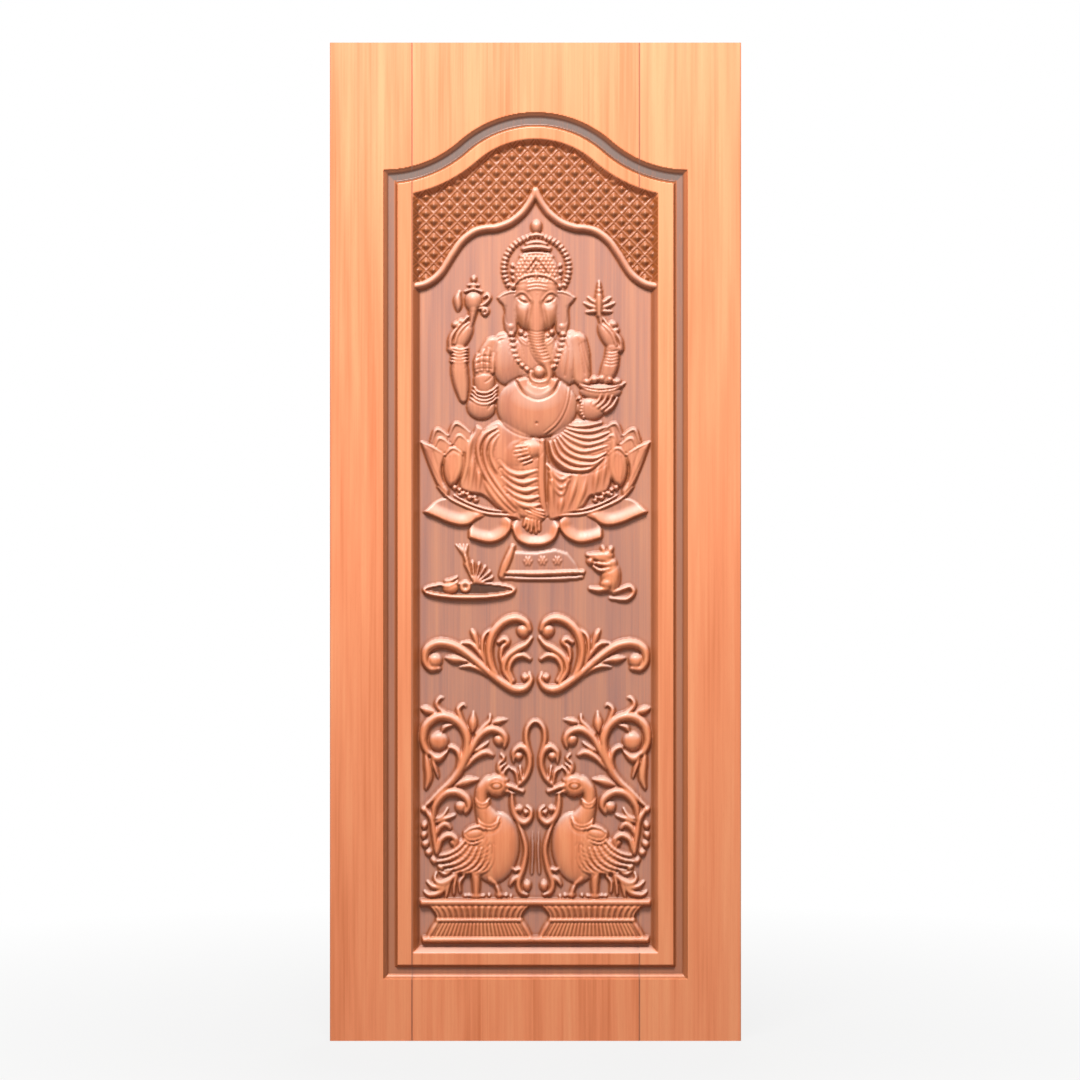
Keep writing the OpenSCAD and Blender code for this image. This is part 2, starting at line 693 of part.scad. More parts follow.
// Upright ridges side by side, cut to the outline of the hollow
module flutes() {
    from = pedestal_hollow[3][0];
    pitch = (pedestal_hollow[2][0] - from) / flute_count;
    ridges = [
        for (k = [0:2 * flute_count])
            [from + k * pitch / 2, k % 2 == 0 ? valley_of_flutes : flute_rise]
    ];
    section = concat(ridges, [[pedestal_hollow[2][0], -sink], [from, -sink]]);
    intersection() {
        plate(pedestal_hollow, flute_rise);
        translate([0, pedestal_hollow[2][1], 0])
            rotate([90, 0, 0])
                linear_extrude(pedestal_hollow[2][1] - pedestal_hollow[1][1])
                    polygon(section);
    }
}

module pedestals() {
    pair() {
        plate(pedestal_slab, 13);
        plate(pedestal_ring, 11);
        plate(pedestal_skirt, 7);
        plate(pedestal_base, 13);
        flutes();
        strand([[-211, 249, 5, 10], [-224, 217, 6, 10]]);
        strand([[-24, 249, 5, 10], [-11, 217, 6, 10]]);
    }
}

module carving() {
    translate([0, field_foot - drawing_foot * stretch_y, -field_depth])
        scale([stretch_x, stretch_y, stretch_rise]) {
            lattice();
            bracket_arch();
            halo();
            head();
            arms();
            body();
            lotus();
            tray();
            mat();
            mouse();
            scrolls();
            vines();
            geese();
            pedestals();
        }
}

// Plan section of a board: its left edge has the groove of the joint, its right edge the tongue
function seam(i) = i == 0 || i == last_board - 1 ? seam_v : 0;
function seam_edge(x, v, way) =
    v == 0 ? [[x, front]] : way > 0 ? [[x, front + v], [x + v, front]] : [[x - v, front], [x, front + v]];
function plan_left(x, v) =
    let (
        y = back - tongue_from_back,
        half = tongue_t / 2 + tongue_side_gap,
        deep = x + tongue_w + tongue_end_gap
    )
    concat(
        [[x, back], [x, y + half], [deep, y + half], [deep, y - half], [x, y - half]],
        seam_edge(x, v, 1)
    );
function plan_right(x, v) =
    let (
        y = back - tongue_from_back,
        half = tongue_t / 2,
        tip = x + tongue_w
    )
    concat(
        seam_edge(x, v, -1),
        [[x, y - half], [tip, y - half], [tip, y + half], [x, y + half], [x, back]]
    );
function outer_edge(way) =
    let (x = way * door_w / 2, inner = way * (door_w / 2 - arris))
    [[inner, back], [x, back - arris], [x, front + arris], [inner, front]];
function board_plan(i) = concat(
    i == 0 ? outer_edge(-1) : plan_left(joint_x[i - 1], seam(i - 1)),
    i == last_board ? reversed(outer_edge(1)) : plan_right(joint_x[i], seam(i))
);
function board_from(i) = i == 0 ? -door_w / 2 : joint_x[i - 1];
function board_to(i) = i == last_board ? door_w / 2 : joint_x[i];
function carries_field(i) =
    board_to(i) > -field_half_w - wall_w && board_from(i) < field_half_w + wall_w;

module board_blank(i) {
    linear_extrude(door_h)
        polygon(board_plan(i));
}

module board(i) {
    difference() {
        board_blank(i);
        stand() {
            groove_cut();
            field_cut();
        }
    }
    if (carries_field(i))
        intersection() {
            stand()
                carving();
            board_blank(i);
        }
}

module left_edge_board() {
    color("#d9905c")
        board(0);
}

module left_panel_board() {
    color("#e09a66")
        board(1);
}

module centre_panel_board() {
    color("#dc9562")
        board(2);
}

module right_panel_board() {
    color("#e29d6a")
        board(3);
}

module right_edge_board() {
    color("#d68c58")
        board(4);
}

left_edge_board();
left_panel_board();
centre_panel_board();
right_panel_board();
right_edge_board();
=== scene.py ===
"""Carved temple door leaf: five edge-glued teak boards with one relief carved across them.

Every board is one closed surface. Its front is a height grid: the moulded frame, the sunk field and
the relief are worked out in millimetres on one drawing, and each board takes its own columns of it.
"""

import math
from types import SimpleNamespace

import bpy
import numpy as np
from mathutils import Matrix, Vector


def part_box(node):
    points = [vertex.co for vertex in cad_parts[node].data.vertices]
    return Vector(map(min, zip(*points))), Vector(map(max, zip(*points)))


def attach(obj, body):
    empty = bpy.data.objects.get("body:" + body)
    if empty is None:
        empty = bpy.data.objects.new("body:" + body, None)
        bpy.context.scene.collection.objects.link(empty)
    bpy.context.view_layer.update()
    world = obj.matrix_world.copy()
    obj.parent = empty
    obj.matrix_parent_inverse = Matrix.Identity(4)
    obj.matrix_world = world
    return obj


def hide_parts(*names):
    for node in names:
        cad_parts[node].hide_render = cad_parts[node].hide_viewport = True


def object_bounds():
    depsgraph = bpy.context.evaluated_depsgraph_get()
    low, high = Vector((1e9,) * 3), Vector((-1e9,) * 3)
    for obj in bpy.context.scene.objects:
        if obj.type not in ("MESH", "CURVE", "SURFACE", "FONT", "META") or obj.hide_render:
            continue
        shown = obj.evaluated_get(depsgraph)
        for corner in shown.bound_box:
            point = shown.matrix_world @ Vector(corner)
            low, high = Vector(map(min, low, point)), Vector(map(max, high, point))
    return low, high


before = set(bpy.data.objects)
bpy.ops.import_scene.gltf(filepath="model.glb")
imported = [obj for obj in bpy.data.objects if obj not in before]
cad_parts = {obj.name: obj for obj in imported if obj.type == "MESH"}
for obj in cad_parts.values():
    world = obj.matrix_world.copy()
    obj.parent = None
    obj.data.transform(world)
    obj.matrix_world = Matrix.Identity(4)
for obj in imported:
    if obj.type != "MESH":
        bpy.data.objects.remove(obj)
CAD_BOX = [list(corner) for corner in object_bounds()]

bl_info = {
    "name": "Carved temple door",
    "version": (1, 0, 0),
    "blender": (4, 5, 0),
    "location": "3D View > Sidebar > Door",
    "description": "Carves the five boards of a teak door leaf and sets the studio round it",
    "category": "Object",
}

MM = 0.001
BOARDS = (
    "left_edge_board",
    "left_panel_board",
    "centre_panel_board",
    "right_panel_board",
    "right_edge_board",
)
LEAF_LOW, LEAF_HIGH = CAD_BOX
LEAF_W = (LEAF_HIGH[0] - LEAF_LOW[0]) / MM
LEAF_H = (LEAF_HIGH[2] - LEAF_LOW[2]) / MM
LEAF_T = (LEAF_HIGH[1] - LEAF_LOW[1]) / MM
# Joint lines between the boards: the left side of every board but the first
JOINTS = [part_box(name)[0][0] / MM for name in BOARDS[1:]]
OUTER_JOINTS = (JOINTS[0], JOINTS[-1])
# How much lighter each board's wood is, as a shift along the grain's colours
BOARD_TONES = (0, 0, 0, 0, 0.08)
# Steps of the drawing's curves and of the face's grid, in mm
DRAWING_STEP = 1.2
OUTLINE_STEP = 4
CARVED_STEP = 1.7
MOULDED_STEP = 1.0
PLAIN_STEP = 18
# Edges that turn by more than this are sharp
SHARP_ANGLE = math.radians(42)
# Middle line of the head, x in mm
HEAD_X = 2


# Colour and nodes


def linear(hex_code):
    """Turns an sRGB hex value into linear RGBA."""
    parts = [int(hex_code[i:i + 2], 16) / 255 for i in (1, 3, 5)]
    return [c / 12.92 if c <= 0.04045 else ((c + 0.055) / 1.055) ** 2.4 for c in parts] + [1.0]


def add_node(tree, kind, sockets=None, **settings):
    """Adds a node, sets its properties, and fills its sockets with values or other nodes' outputs."""
    node = tree.nodes.new(kind)
    for key, value in settings.items():
        setattr(node, key, value)
    for socket, value in (sockets or {}).items():
        if isinstance(value, bpy.types.NodeSocket):
            tree.links.new(value, node.inputs[socket])
        else:
            node.inputs[socket].default_value = value
    return node


# Drawing tools of the relief


def curve(path, step=DRAWING_STEP):
    """Smooth curve through the points: cubic blend of four neighbours, sampled about every step."""
    points = np.asarray(path, float)
    padded = np.vstack([points[:1], points, points[-1:]])
    pieces = []
    for a, b, c, d in zip(padded, padded[1:], padded[2:], padded[3:]):
        count = max(2, int(np.hypot(*(c - b)[:2]) / step))
        t = np.arange(count)[:, None] / count
        pieces.append(
            b + 0.5 * t * ((c - a) + t * (2 * a - 5 * b + 4 * c - d + t * (3 * (b - c) + d - a)))
        )
    pieces.append(points[-1:])
    return np.vstack(pieces)


def closed_curve(outline):
    """Smooth closed curve through the corners of an outline."""
    return curve(list(outline) + [outline[0]], OUTLINE_STEP)[:-1]


def rounded(q):
    """Half circle across the strand."""
    return np.sqrt(np.clip(1 - q * q, 0, 1))


def full(q):
    """Flatter than a half circle, with steep sides."""
    return np.clip(1 - q ** 4, 0, 1) ** 0.5


def ridged(q):
    """Two slopes that meet in a ridge."""
    return np.clip(1 - q, 0, 1) ** 0.8


def creased(q):
    """Half circle with a sharp crease along its middle."""
    return rounded(q) - 0.3 * np.clip(1 - q / 0.28, 0, 1)


def blurred(heights, times):
    """Smooths a grid with a 1-2-1 average along both ways, so many times."""
    out = heights.copy()
    for _ in range(times):
        wide = np.pad(out, 1, mode="edge")
        out = (wide[:-2, 1:-1] + 2 * wide[1:-1, 1:-1] + wide[2:, 1:-1]) / 4
        wide = np.pad(out, 1, mode="edge")
        out = (wide[1:-1, :-2] + 2 * wide[1:-1, 1:-1] + wide[1:-1, 2:]) / 4
    return out


def sides(both):
    """Side 1 alone, or side 1 and its mirror image, side -1."""
    return (1, -1) if both else (1,)


def mirrored(x, side, axis):
    """x itself on side 1, and its mirror image across the axis on side -1."""
    return x if side > 0 else 2 * axis - x


class Relief:
    """Heights in mm above the field floor on columns x and rows z, with stain and painted shade on the wood.
    """

    def __init__(self, xs, zs):
        """A flat floor with no stain and no shade."""
        self.xs = xs
        self.zs = zs
        self.h = np.zeros((zs.size, xs.size))
        self.stain = np.zeros_like(self.h)
        # Painted shade where above 0, painted highlight where below 0
        self.shade = np.zeros_like(self.h)

    def window(self, x_low, x_high, z_low, z_high):
        """Rows and columns inside a rectangle, as a place in the grid and as coordinates."""
        columns = slice(*np.searchsorted(self.xs, (x_low, x_high)))
        rows = slice(*np.searchsorted(self.zs, (z_low, z_high)))
        x, z = np.meshgrid(self.xs[columns], self.zs[rows])
        return (rows, columns), x, z

    def lay(self, place, shape, outside, top, moat, depth, soft=0.0):
        """Lays a form on: the higher surface stays, and a narrow valley runs round the form's edge.

        With soft, the two run into each other: half of their sum plus the root of (difference squared
        plus soft squared).
        """
        here = self.h[place]
        if moat:
            valley = np.clip(1 - outside / moat, 0, 1) * (outside > 0) * (here < top + 0.5)
            here -= depth * valley
        joined = (here + shape + np.hypot(here - shape, soft)) / 2
        here[:] = np.where(outside <= 0, joined, here)

    def near(self, path, side, axis, margin):
        """For the grid round a path: distance over half width, distance outside, and rise there."""
        line = curve(path)
        x = mirrored(line[:, 0], side, axis)
        z, half, rise = line[:, 1], line[:, 2], line[:, 3]
        reach = half.max() + margin
        place, gx, gz = self.window(x.min() - reach, x.max() + reach, z.min() - reach, z.max() + reach)
        if gx.size == 0:
            return None
        away = np.hypot(gx[..., None] - x, gz[..., None] - z)
        nearest = np.argmin(away / half, axis=-1)
        distance = np.take_along_axis(away, nearest[..., None], -1)[..., 0]
        return place, distance / half[nearest], distance - half[nearest], rise[nearest]

    def strand(self, path, section=rounded, both=False, axis=0.0, moat=2.5, depth=1.5, lift=0.0,
               soft=0.0):
        """A strand along a path of x, z, half width and rise: rise times its section across it."""
        for side in sides(both):
            found = self.near(path, side, axis, moat)
            if found:
                place, q, outside, rise = found
                self.lay(place, lift + rise * section(q), outside, lift + rise, moat, depth, soft)

    def strands(self, paths, section=rounded, both=False, **options):
        """Strands of one section along several paths."""
        for path in paths:
            self.strand(path, section, both, **options)

    def rib(self, path, half, rise, both=False, axis=0.0):
        """Raises, or with a negative rise cuts, a thin line on what is carved already."""
        sized = [(p[0], p[1], half, rise) for p in path]
        for side in sides(both):
            found = self.near(sized, side, axis, 0.5)
            if found:
                place, q, _, height = found
                self.h[place] += height * np.clip(1 - q * q, 0, 1)

    def ribs(self, paths, half, rise, both=False, axis=0.0):
        """Ribs of one size along several paths."""
        for path in paths:
            self.rib(path, half, rise, both, axis)

    def dome(self, x, z, rx, rz, rise, turn=0.0, power=0.5, both=False, axis=0.0, moat=2.5, depth=1.5,
             lift=0.0, soft=0.0):
        """A domed boss: rise times (1 - r squared) to a power inside a turned ellipse."""
        for side in sides(both):
            middle = mirrored(x, side, axis)
            angle = math.radians(side * turn)
            reach = max(rx, rz) + moat
            place, gx, gz = self.window(middle - reach, middle + reach, z - reach, z + reach)
            dx, dz = gx - middle, gz - z
            u = (math.cos(angle) * dx + math.sin(angle) * dz) / rx
            v = (math.cos(angle) * dz - math.sin(angle) * dx) / rz
            q = np.hypot(u, v)
            shape = lift + rise * np.clip(1 - q * q, 0, 1) ** power
            self.lay(place, shape, (q - 1) * min(rx, rz), lift + rise, moat, depth, soft)

    def domes(self, rows, both=False, **options):
        """Domes from rows of x, z, half width, half height, rise and, where it has one, turn."""
        for row in rows:
            self.dome(*row, both=both, **options)

    def inside(self, outline, margin):
        """For the grid round a closed outline: the distance inside its edge, negative outside."""
        points = np.asarray(outline, float)
        low, high = points.min(0) - margin, points.max(0) + margin
        place, x, z = self.window(low[0], high[0], low[1], high[1])
        nearest = np.full(x.shape, np.inf)
        crossings = np.zeros(x.shape, int)
        for (x1, z1), (x2, z2) in zip(points, np.roll(points, -1, 0)):
            along = np.clip(
                ((x - x1) * (x2 - x1) + (z - z1) * (z2 - z1)) / ((x2 - x1) ** 2 + (z2 - z1) ** 2), 0, 1
            )
            nearest = np.minimum(nearest, np.hypot(x - x1 - along * (x2 - x1), z - z1 - along * (z2 - z1)))
            if z1 != z2:
                crosses = (z1 > z) != (z2 > z)
                crossings += crosses & (x < x1 + (z - z1) / (z2 - z1) * (x2 - x1))
        return place, x, z, np.where(crossings % 2 == 1, nearest, -nearest)

    def plate(self, outline, rise, edge=3.0, both=False, axis=0.0, moat=2.5, depth=1.5, smooth=False):
        """A plate of an outline whose edge is rounded over by a quarter circle."""
        if smooth:
            outline = closed_curve(outline)
        for side in sides(both):
            points = [(mirrored(p[0], side, axis), p[1]) for p in outline]
            place, _, _, within = self.inside(points, moat)
            shape = rise * rounded(1 - np.clip(within / edge, 0, 1))
            self.lay(place, shape, -within, rise, moat, depth)

    def scoop(self, outline, lip, floor, top, width, both=False):
        """A hollow petal: it rises from its floor to a lip by a smooth step over the given width."""
        outline = closed_curve(outline)
        for side in sides(both):
            points = [(side * p[0], p[1]) for p in outline]
            place, x, z, within = self.inside(points, 3)
            line = curve(lip, 2)
            away = np.hypot(x[..., None] - side * line[:, 0], z[..., None] - line[:, 1]).min(-1)
            t = np.clip(1 - away / width, 0, 1)
            shape = floor + (top - floor) * t * t * (3 - 2 * t)
            shape *= rounded(1 - np.clip(within / 4, 0, 1))
            self.lay(place, shape, -within, top, 3, 1.5)

    def beads(self, path, pitch, along, across, rise, both=False, axis=0.0, lift=0.0, moat=2.0):
        """Domes side by side along a path, a pitch apart, each turned with the path."""
        line = curve([(p[0], p[1]) for p in path], 0.5)
        run = np.concatenate([[0], np.cumsum(np.hypot(*np.diff(line, axis=0).T))])
        count = max(1, round(run[-1] / pitch))
        at = np.interp(np.linspace(0, run[-1], count + 1), run, np.arange(run.size)).astype(int)
        slope = np.gradient(line, axis=0)
        for i in at:
            turn = math.degrees(math.atan2(slope[i, 1], slope[i, 0]))
            self.dome(line[i, 0], line[i, 1], along, across, rise, turn, both=both, axis=axis,
                      lift=lift, moat=moat, depth=1.0)


# The relief, motif by motif. Points are x, z, half width and rise in mm on the leaf.

BRACKET = (
    (-262, 1588), (-231, 1594), (-202, 1615), (-176, 1655), (-155, 1684), (-129, 1704), (-104, 1711),
    (-82, 1713), (-53, 1724), (-28, 1744), (-10, 1769), (0, 1790),
)


def carve_lattice(wood):
    """Low diamond studs between crossed flat lines: the rise falls with |x| + |z| from a stud's middle."""
    place, x, z = wood.window(-262, 262, 1585, 1915)
    a = (x / 16.5 + (z - 1845) / 17.15) / 2
    b = (x / 16.5 - (z - 1845) / 17.15) / 2
    r = 2 * np.maximum(np.abs(a - np.rint(a)), np.abs(b - np.rint(b)))
    arch = curve(BRACKET, 2)
    over = z > np.interp(-np.abs(x), arch[:, 0], arch[:, 1])
    stud = 0.3 + 8.2 * np.clip((0.7 - r) / 0.6, 0, 1)
    shape = np.where(r > 0.86, 3.6, stud)
    wood.h[place] = np.where(over, np.maximum(wood.h[place], shape), wood.h[place])
    wood.stain[place] = np.where(over, np.clip((0.9 - r) / 0.08, 0.42, 1), 0)
    # Painted shade on the low ground round each stud, between it and the flat lines
    wood.shade[place] = np.where(over, 0.3 * (np.abs(r - 0.78) < 0.1), 0)


def carve_bracket(wood):
    """Bracket arch over the figure: one thick round bar."""
    wood.strand([(x, z, 8.8, 14.6) for x, z in BRACKET], both=True, moat=3, depth=2)
    # The bar itself takes no stud stain and no painted shade
    wood.stain *= wood.h < 8.8
    wood.shade *= wood.h < 8.8


def carve_halo(wood):
    """Long beads side by side on an arc round the head."""
    angles = np.radians(np.linspace(-38, 218, 40))
    ring = np.stack([2 + 68 * np.cos(angles), 1625 + 68 * np.sin(angles)], 1)
    wood.beads(ring, 9.6, 4.6, 6.8, 9, moat=1.2)


EAR = (
    (-42, 1578), (-58, 1577), (-70, 1571), (-79, 1565), (-77, 1557), (-69, 1549), (-66, 1537),
    (-67, 1520), (-66, 1506), (-62, 1491), (-52, 1489), (-38, 1498),
)
CROWN = (
    (-45, 1588), (-48, 1610), (-44, 1632), (-34, 1648), (-27, 1657), (31, 1657), (38, 1648), (48, 1632),
    (52, 1610), (49, 1588),
)
FACE = (
    (-44, 1592), (-45, 1560), (-44, 1537), (-41, 1519), (-35, 1506), (-25, 1497), (2, 1488), (29, 1497),
    (39, 1506), (45, 1519), (48, 1537), (49, 1560), (48, 1592), (30, 1608), (2, 1614), (-27, 1608),
)
TRUNK = (
    (2, 1580, 7, 9), (2, 1556, 11, 13.6), (2, 1530, 15, 15.2), (2, 1506, 18, 15.2), (2, 1482, 18.5, 14.8),
    (4, 1462, 17, 15), (10, 1445, 15.5, 15), (19, 1430, 13, 14.8), (26, 1415, 10.5, 14.4),
    (29, 1400, 8.5, 14), (23, 1388, 7.5, 13.4), (9, 1383, 7, 13), (-4, 1388, 6.5, 12.4), (-10, 1398, 5.5, 12),
    (-9, 1408, 4.5, 11),
)
TRUNK_RINGS = (
    (2, 1492, 16), (2, 1486, 17), (2, 1480, 17), (3, 1474, 17), (3, 1468, 16), (5, 1461, 15), (7, 1454, 15),
    (10, 1447, 14), (14, 1440, 13), (18, 1433, 12),
)


def carve_head(wood):
    """Elephant head seen from the front: crown, brow, ears, face and the trunk round a sweet."""
    wood.plate(EAR, 7.5, 5, both=True, axis=HEAD_X, smooth=True)
    wood.strand([(-79, 1564, 2, 8), (-66, 1572, 3.2, 10), (-54, 1576, 3.4, 10.5), (-44, 1577, 3, 10)],
                both=True, axis=HEAD_X, moat=2)
    wood.dome(-52, 1503, 12, 10, 10, 10, both=True, axis=HEAD_X, moat=0)
    wood.rib([(-62, 1546), (-64, 1530), (-61, 1512)], 3, -1.6, both=True, axis=HEAD_X)
    wood.plate(CROWN, 12.6, 12, smooth=True)
    place, x, z = wood.window(-45, 49, 1600, 1656)
    row = np.floor(z / 8)
    u = x / 9 + 0.5 * (row % 2)
    scale = np.clip(1 - ((u - np.rint(u)) * 2.1) ** 2 - ((z / 8 - row - 0.4) * 1.7) ** 2, 0, 1)
    wood.h[place] += (3.4 * scale - 1.8) * (wood.h[place] > 8)
    wood.ribs([[(-22, 1622), (-10, 1637), (2, 1651), (14, 1637), (26, 1622)],
               [(-14, 1616), (2, 1635), (18, 1616)]], 2.8, 2.4)
    wood.ribs([[(-19, 1617), (-9, 1630), (2, 1643), (13, 1630), (23, 1617)]], 2.4, -2.6)
    wood.strands([
        [(-24, 1656, 3, 10), (2, 1658, 3.5, 11.5), (28, 1656, 3, 10)],
        [(-25, 1667, 4.6, 11), (-12, 1670, 5.4, 13.5), (2, 1671, 5.8, 14.5), (16, 1670, 5.4, 13.5),
         (29, 1667, 4.6, 11)],
        [(-18, 1677, 4, 10.5), (-8, 1680, 5, 13), (2, 1681, 5.2, 13.6), (12, 1680, 5, 13),
         (22, 1677, 4, 10.5)],
        [(-11, 1695, 4, 10.5), (2, 1697, 4.6, 12.8), (15, 1695, 4, 10.5)],
    ])
    wood.dome(2, 1714, 11.5, 15, 13.5)
    wood.domes([(-48, 1632, 4, 5, 9), (-49, 1619, 4.5, 5, 10), (-48, 1606, 4, 5, 10)], both=True, axis=HEAD_X)
    wood.strand(TRUNK[4:], moat=3, depth=2.4)
    wood.plate(FACE, 13, 24, smooth=True)
    for middle in (-25, 29):
        place, x, z = wood.window(middle - 20, middle + 20, 1541, 1585)
        wood.h[place] -= 2.6 * np.clip(1 - ((x - middle) / 20) ** 2 - ((z - 1563) / 21) ** 2, 0, 1)
    # Painted highlight under both eyes, painted shade on the lower cheeks
    place, x, z = wood.window(-48, 52, 1486, 1560)
    out = np.abs(x - HEAD_X)
    wood.shade[place] -= 0.42 * np.clip(1 - ((out - 26) / 15) ** 2 - ((z - 1545) / 10) ** 2, 0, 1)
    jowl = np.clip(1 - ((out - 31) / 17) ** 2 - ((z - 1512) / 24) ** 2, 0, 1)
    wood.shade[place] += 0.24 * jowl * (wood.h[place] > 2)
    wood.strand(TRUNK[:8], moat=0, soft=2.4)
    wood.rib([(-10, 1553), (-14, 1530), (-18, 1508), (-19, 1494)], 6.5, -3, both=True, axis=HEAD_X)
    wood.strand([(-45, 1591, 3, 12), (-36, 1601, 3.8, 14), (-21, 1609, 4.2, 15), (2, 1613, 4.4, 15.4),
                 (25, 1609, 4.2, 15), (40, 1601, 3.8, 14), (49, 1591, 3, 12)], moat=2, depth=2)
    wood.ribs([[(-39, 1592), (-31, 1599), (-19, 1604), (-6, 1607)]], 2.4, -2.4, both=True, axis=HEAD_X)
    wood.dome(2, 1612, 4.6, 10, 16, moat=2)
    wood.dome(-47, 1588, 7, 7, 14, both=True, axis=HEAD_X)
    for z in (1597, 1589.5, 1582):
        wood.rib([(-17, z - 2), (3, z + 1), (24, z - 2)], 2.4, 2.2)
    wood.dome(3, 1573, 4, 4.5, 14.6, moat=1.5, depth=0.8)
    wood.ribs([[(-43, 1569), (-34, 1575), (-24, 1574), (-15, 1565), (-9, 1555)]],
              2.8, 1.9, both=True, axis=HEAD_X)
    wood.ribs([[(-39, 1566), (-30, 1571), (-21, 1568), (-12, 1557)]], 2.6, -2.6, both=True, axis=HEAD_X)
    wood.dome(-25.5, 1559.5, 10, 5.2, 15, -24, both=True, axis=HEAD_X, moat=2, depth=1.8)
    wood.ribs([[(-35, 1562), (-27, 1557), (-18, 1553)]], 2.4, -3.0, both=True, axis=HEAD_X)
    for x, z, half in TRUNK_RINGS:
        wood.rib([(x - half, z + 1.5 + half * 0.12), (x, z - 1), (x + half, z + 1.5 + half * 0.06)], 2.6, -2)
    wood.dome(8, 1407, 14, 14, 15.8, moat=2.4, depth=2)
    wood.strand([(-13, 1399, 2.5, 11), (-6, 1390, 4, 13.5), (8, 1386, 4.4, 14.5), (22, 1390, 4, 13.5),
                 (30, 1399, 2.5, 12)], moat=1.5, depth=1)


NECKLACE_LEFT = (
    (-51, 1487), (-49, 1476), (-47, 1463), (-45, 1451), (-41, 1440), (-36, 1430), (-28, 1421), (-18, 1413),
)
NECKLACE_RIGHT = (
    (58, 1487), (57, 1476), (55, 1464), (52, 1452), (48, 1441), (44, 1430), (39, 1419),
)


def carve_chest(wood):
    """Chest under the trunk, with the necklace, the cloth on the shoulders and the crescent."""
    wood.dome(0, 1440, 50, 58, 10.4, 0, 0.3, moat=0)
    wood.dome(-62, 1436, 37, 57, 13.4, 6, 0.5, soft=2)
    wood.dome(70, 1438, 35, 59, 13.4, -6, 0.5, soft=2)
    # Painted highlight on the upper chest at either side
    place, x, z = wood.window(-110, 115, 1390, 1500)
    for middle in (-66, 74):
        glow = np.clip(1 - ((x - middle) / 32) ** 2 - ((z - 1452) / 44) ** 2, 0, 1)
        wood.shade[place] -= 0.22 * glow * (wood.h[place] > 8)
    wood.ribs([
        [(-100, 1448), (-95, 1466), (-84, 1479), (-66, 1484)],
        [(-93, 1440), (-89, 1460), (-80, 1472), (-70, 1477)],
        [(63, 1470), (68, 1440), (62, 1400)],
        [(78, 1474), (82, 1440), (80, 1396)],
    ], 2.8, -2.2)
    wood.rib([(-97, 1442), (-92, 1464), (-82, 1476), (-66, 1481)], 3.2, 1.6)
    wood.ribs([[(-42, 1490), (-30, 1472), (-19, 1464)],
               [(-37, 1490), (-27, 1477), (-18, 1470)]], 2, 1.8, both=True, axis=HEAD_X)
    wood.domes([(-30, 1491, 6, 6.5, 13), (-22, 1484, 4, 4.5, 12)], both=True, axis=HEAD_X)
    for places, turn in ((NECKLACE_LEFT, -16), (NECKLACE_RIGHT, 16)):
        for n, (x, z) in enumerate(places):
            wood.dome(x, z, 8, 5.8, 14.8, turn * (0.3 + 0.3 * n), moat=2, depth=2.4)


def carve_belly(wood):
    """Round belly with its crescent fold, thread and navel."""
    wood.dome(3, 1336, 86, 66, 16, power=0.4, moat=4, depth=2.5)
    wood.scoop(
        [(-41, 1392), (-30, 1372), (-14, 1359), (5, 1354), (24, 1359), (40, 1372), (48, 1392), (28, 1396),
         (4, 1392), (-22, 1396)],
        [(-38, 1384), (-28, 1369), (-12, 1359), (5, 1355), (22, 1359), (38, 1369), (45, 1384)],
        9.5, 16, 24,
    )
    wood.rib([(-40, 1388), (-30, 1367), (-13, 1354), (5, 1349), (24, 1354), (41, 1367), (49, 1388)],
             2.6, -3.2)
    wood.rib([(72, 1386), (68, 1350), (58, 1320), (42, 1297), (20, 1279)], 2.6, 1.4)
    wood.rib([(75, 1386), (71, 1350), (61, 1319), (45, 1294), (23, 1276)], 2, -2.2)
    wood.rib([(69, 1386), (65, 1351), (55, 1322), (39, 1299), (18, 1281)], 1.6, -1.4)
    # Painted highlight on the upper belly
    place, x, z = wood.window(-60, 64, 1320, 1385)
    glow = np.clip(1 - ((x - 2) / 58) ** 2 - ((z - 1352) / 30) ** 2, 0, 1)
    wood.shade[place] -= 0.4 * glow * (wood.h[place] > 12)
    place, x, z = wood.window(-4, 10, 1293, 1307)
    wood.h[place] -= 4 * np.clip(1 - np.hypot(x - 2.5, z - 1300) / 4, 0, 1)


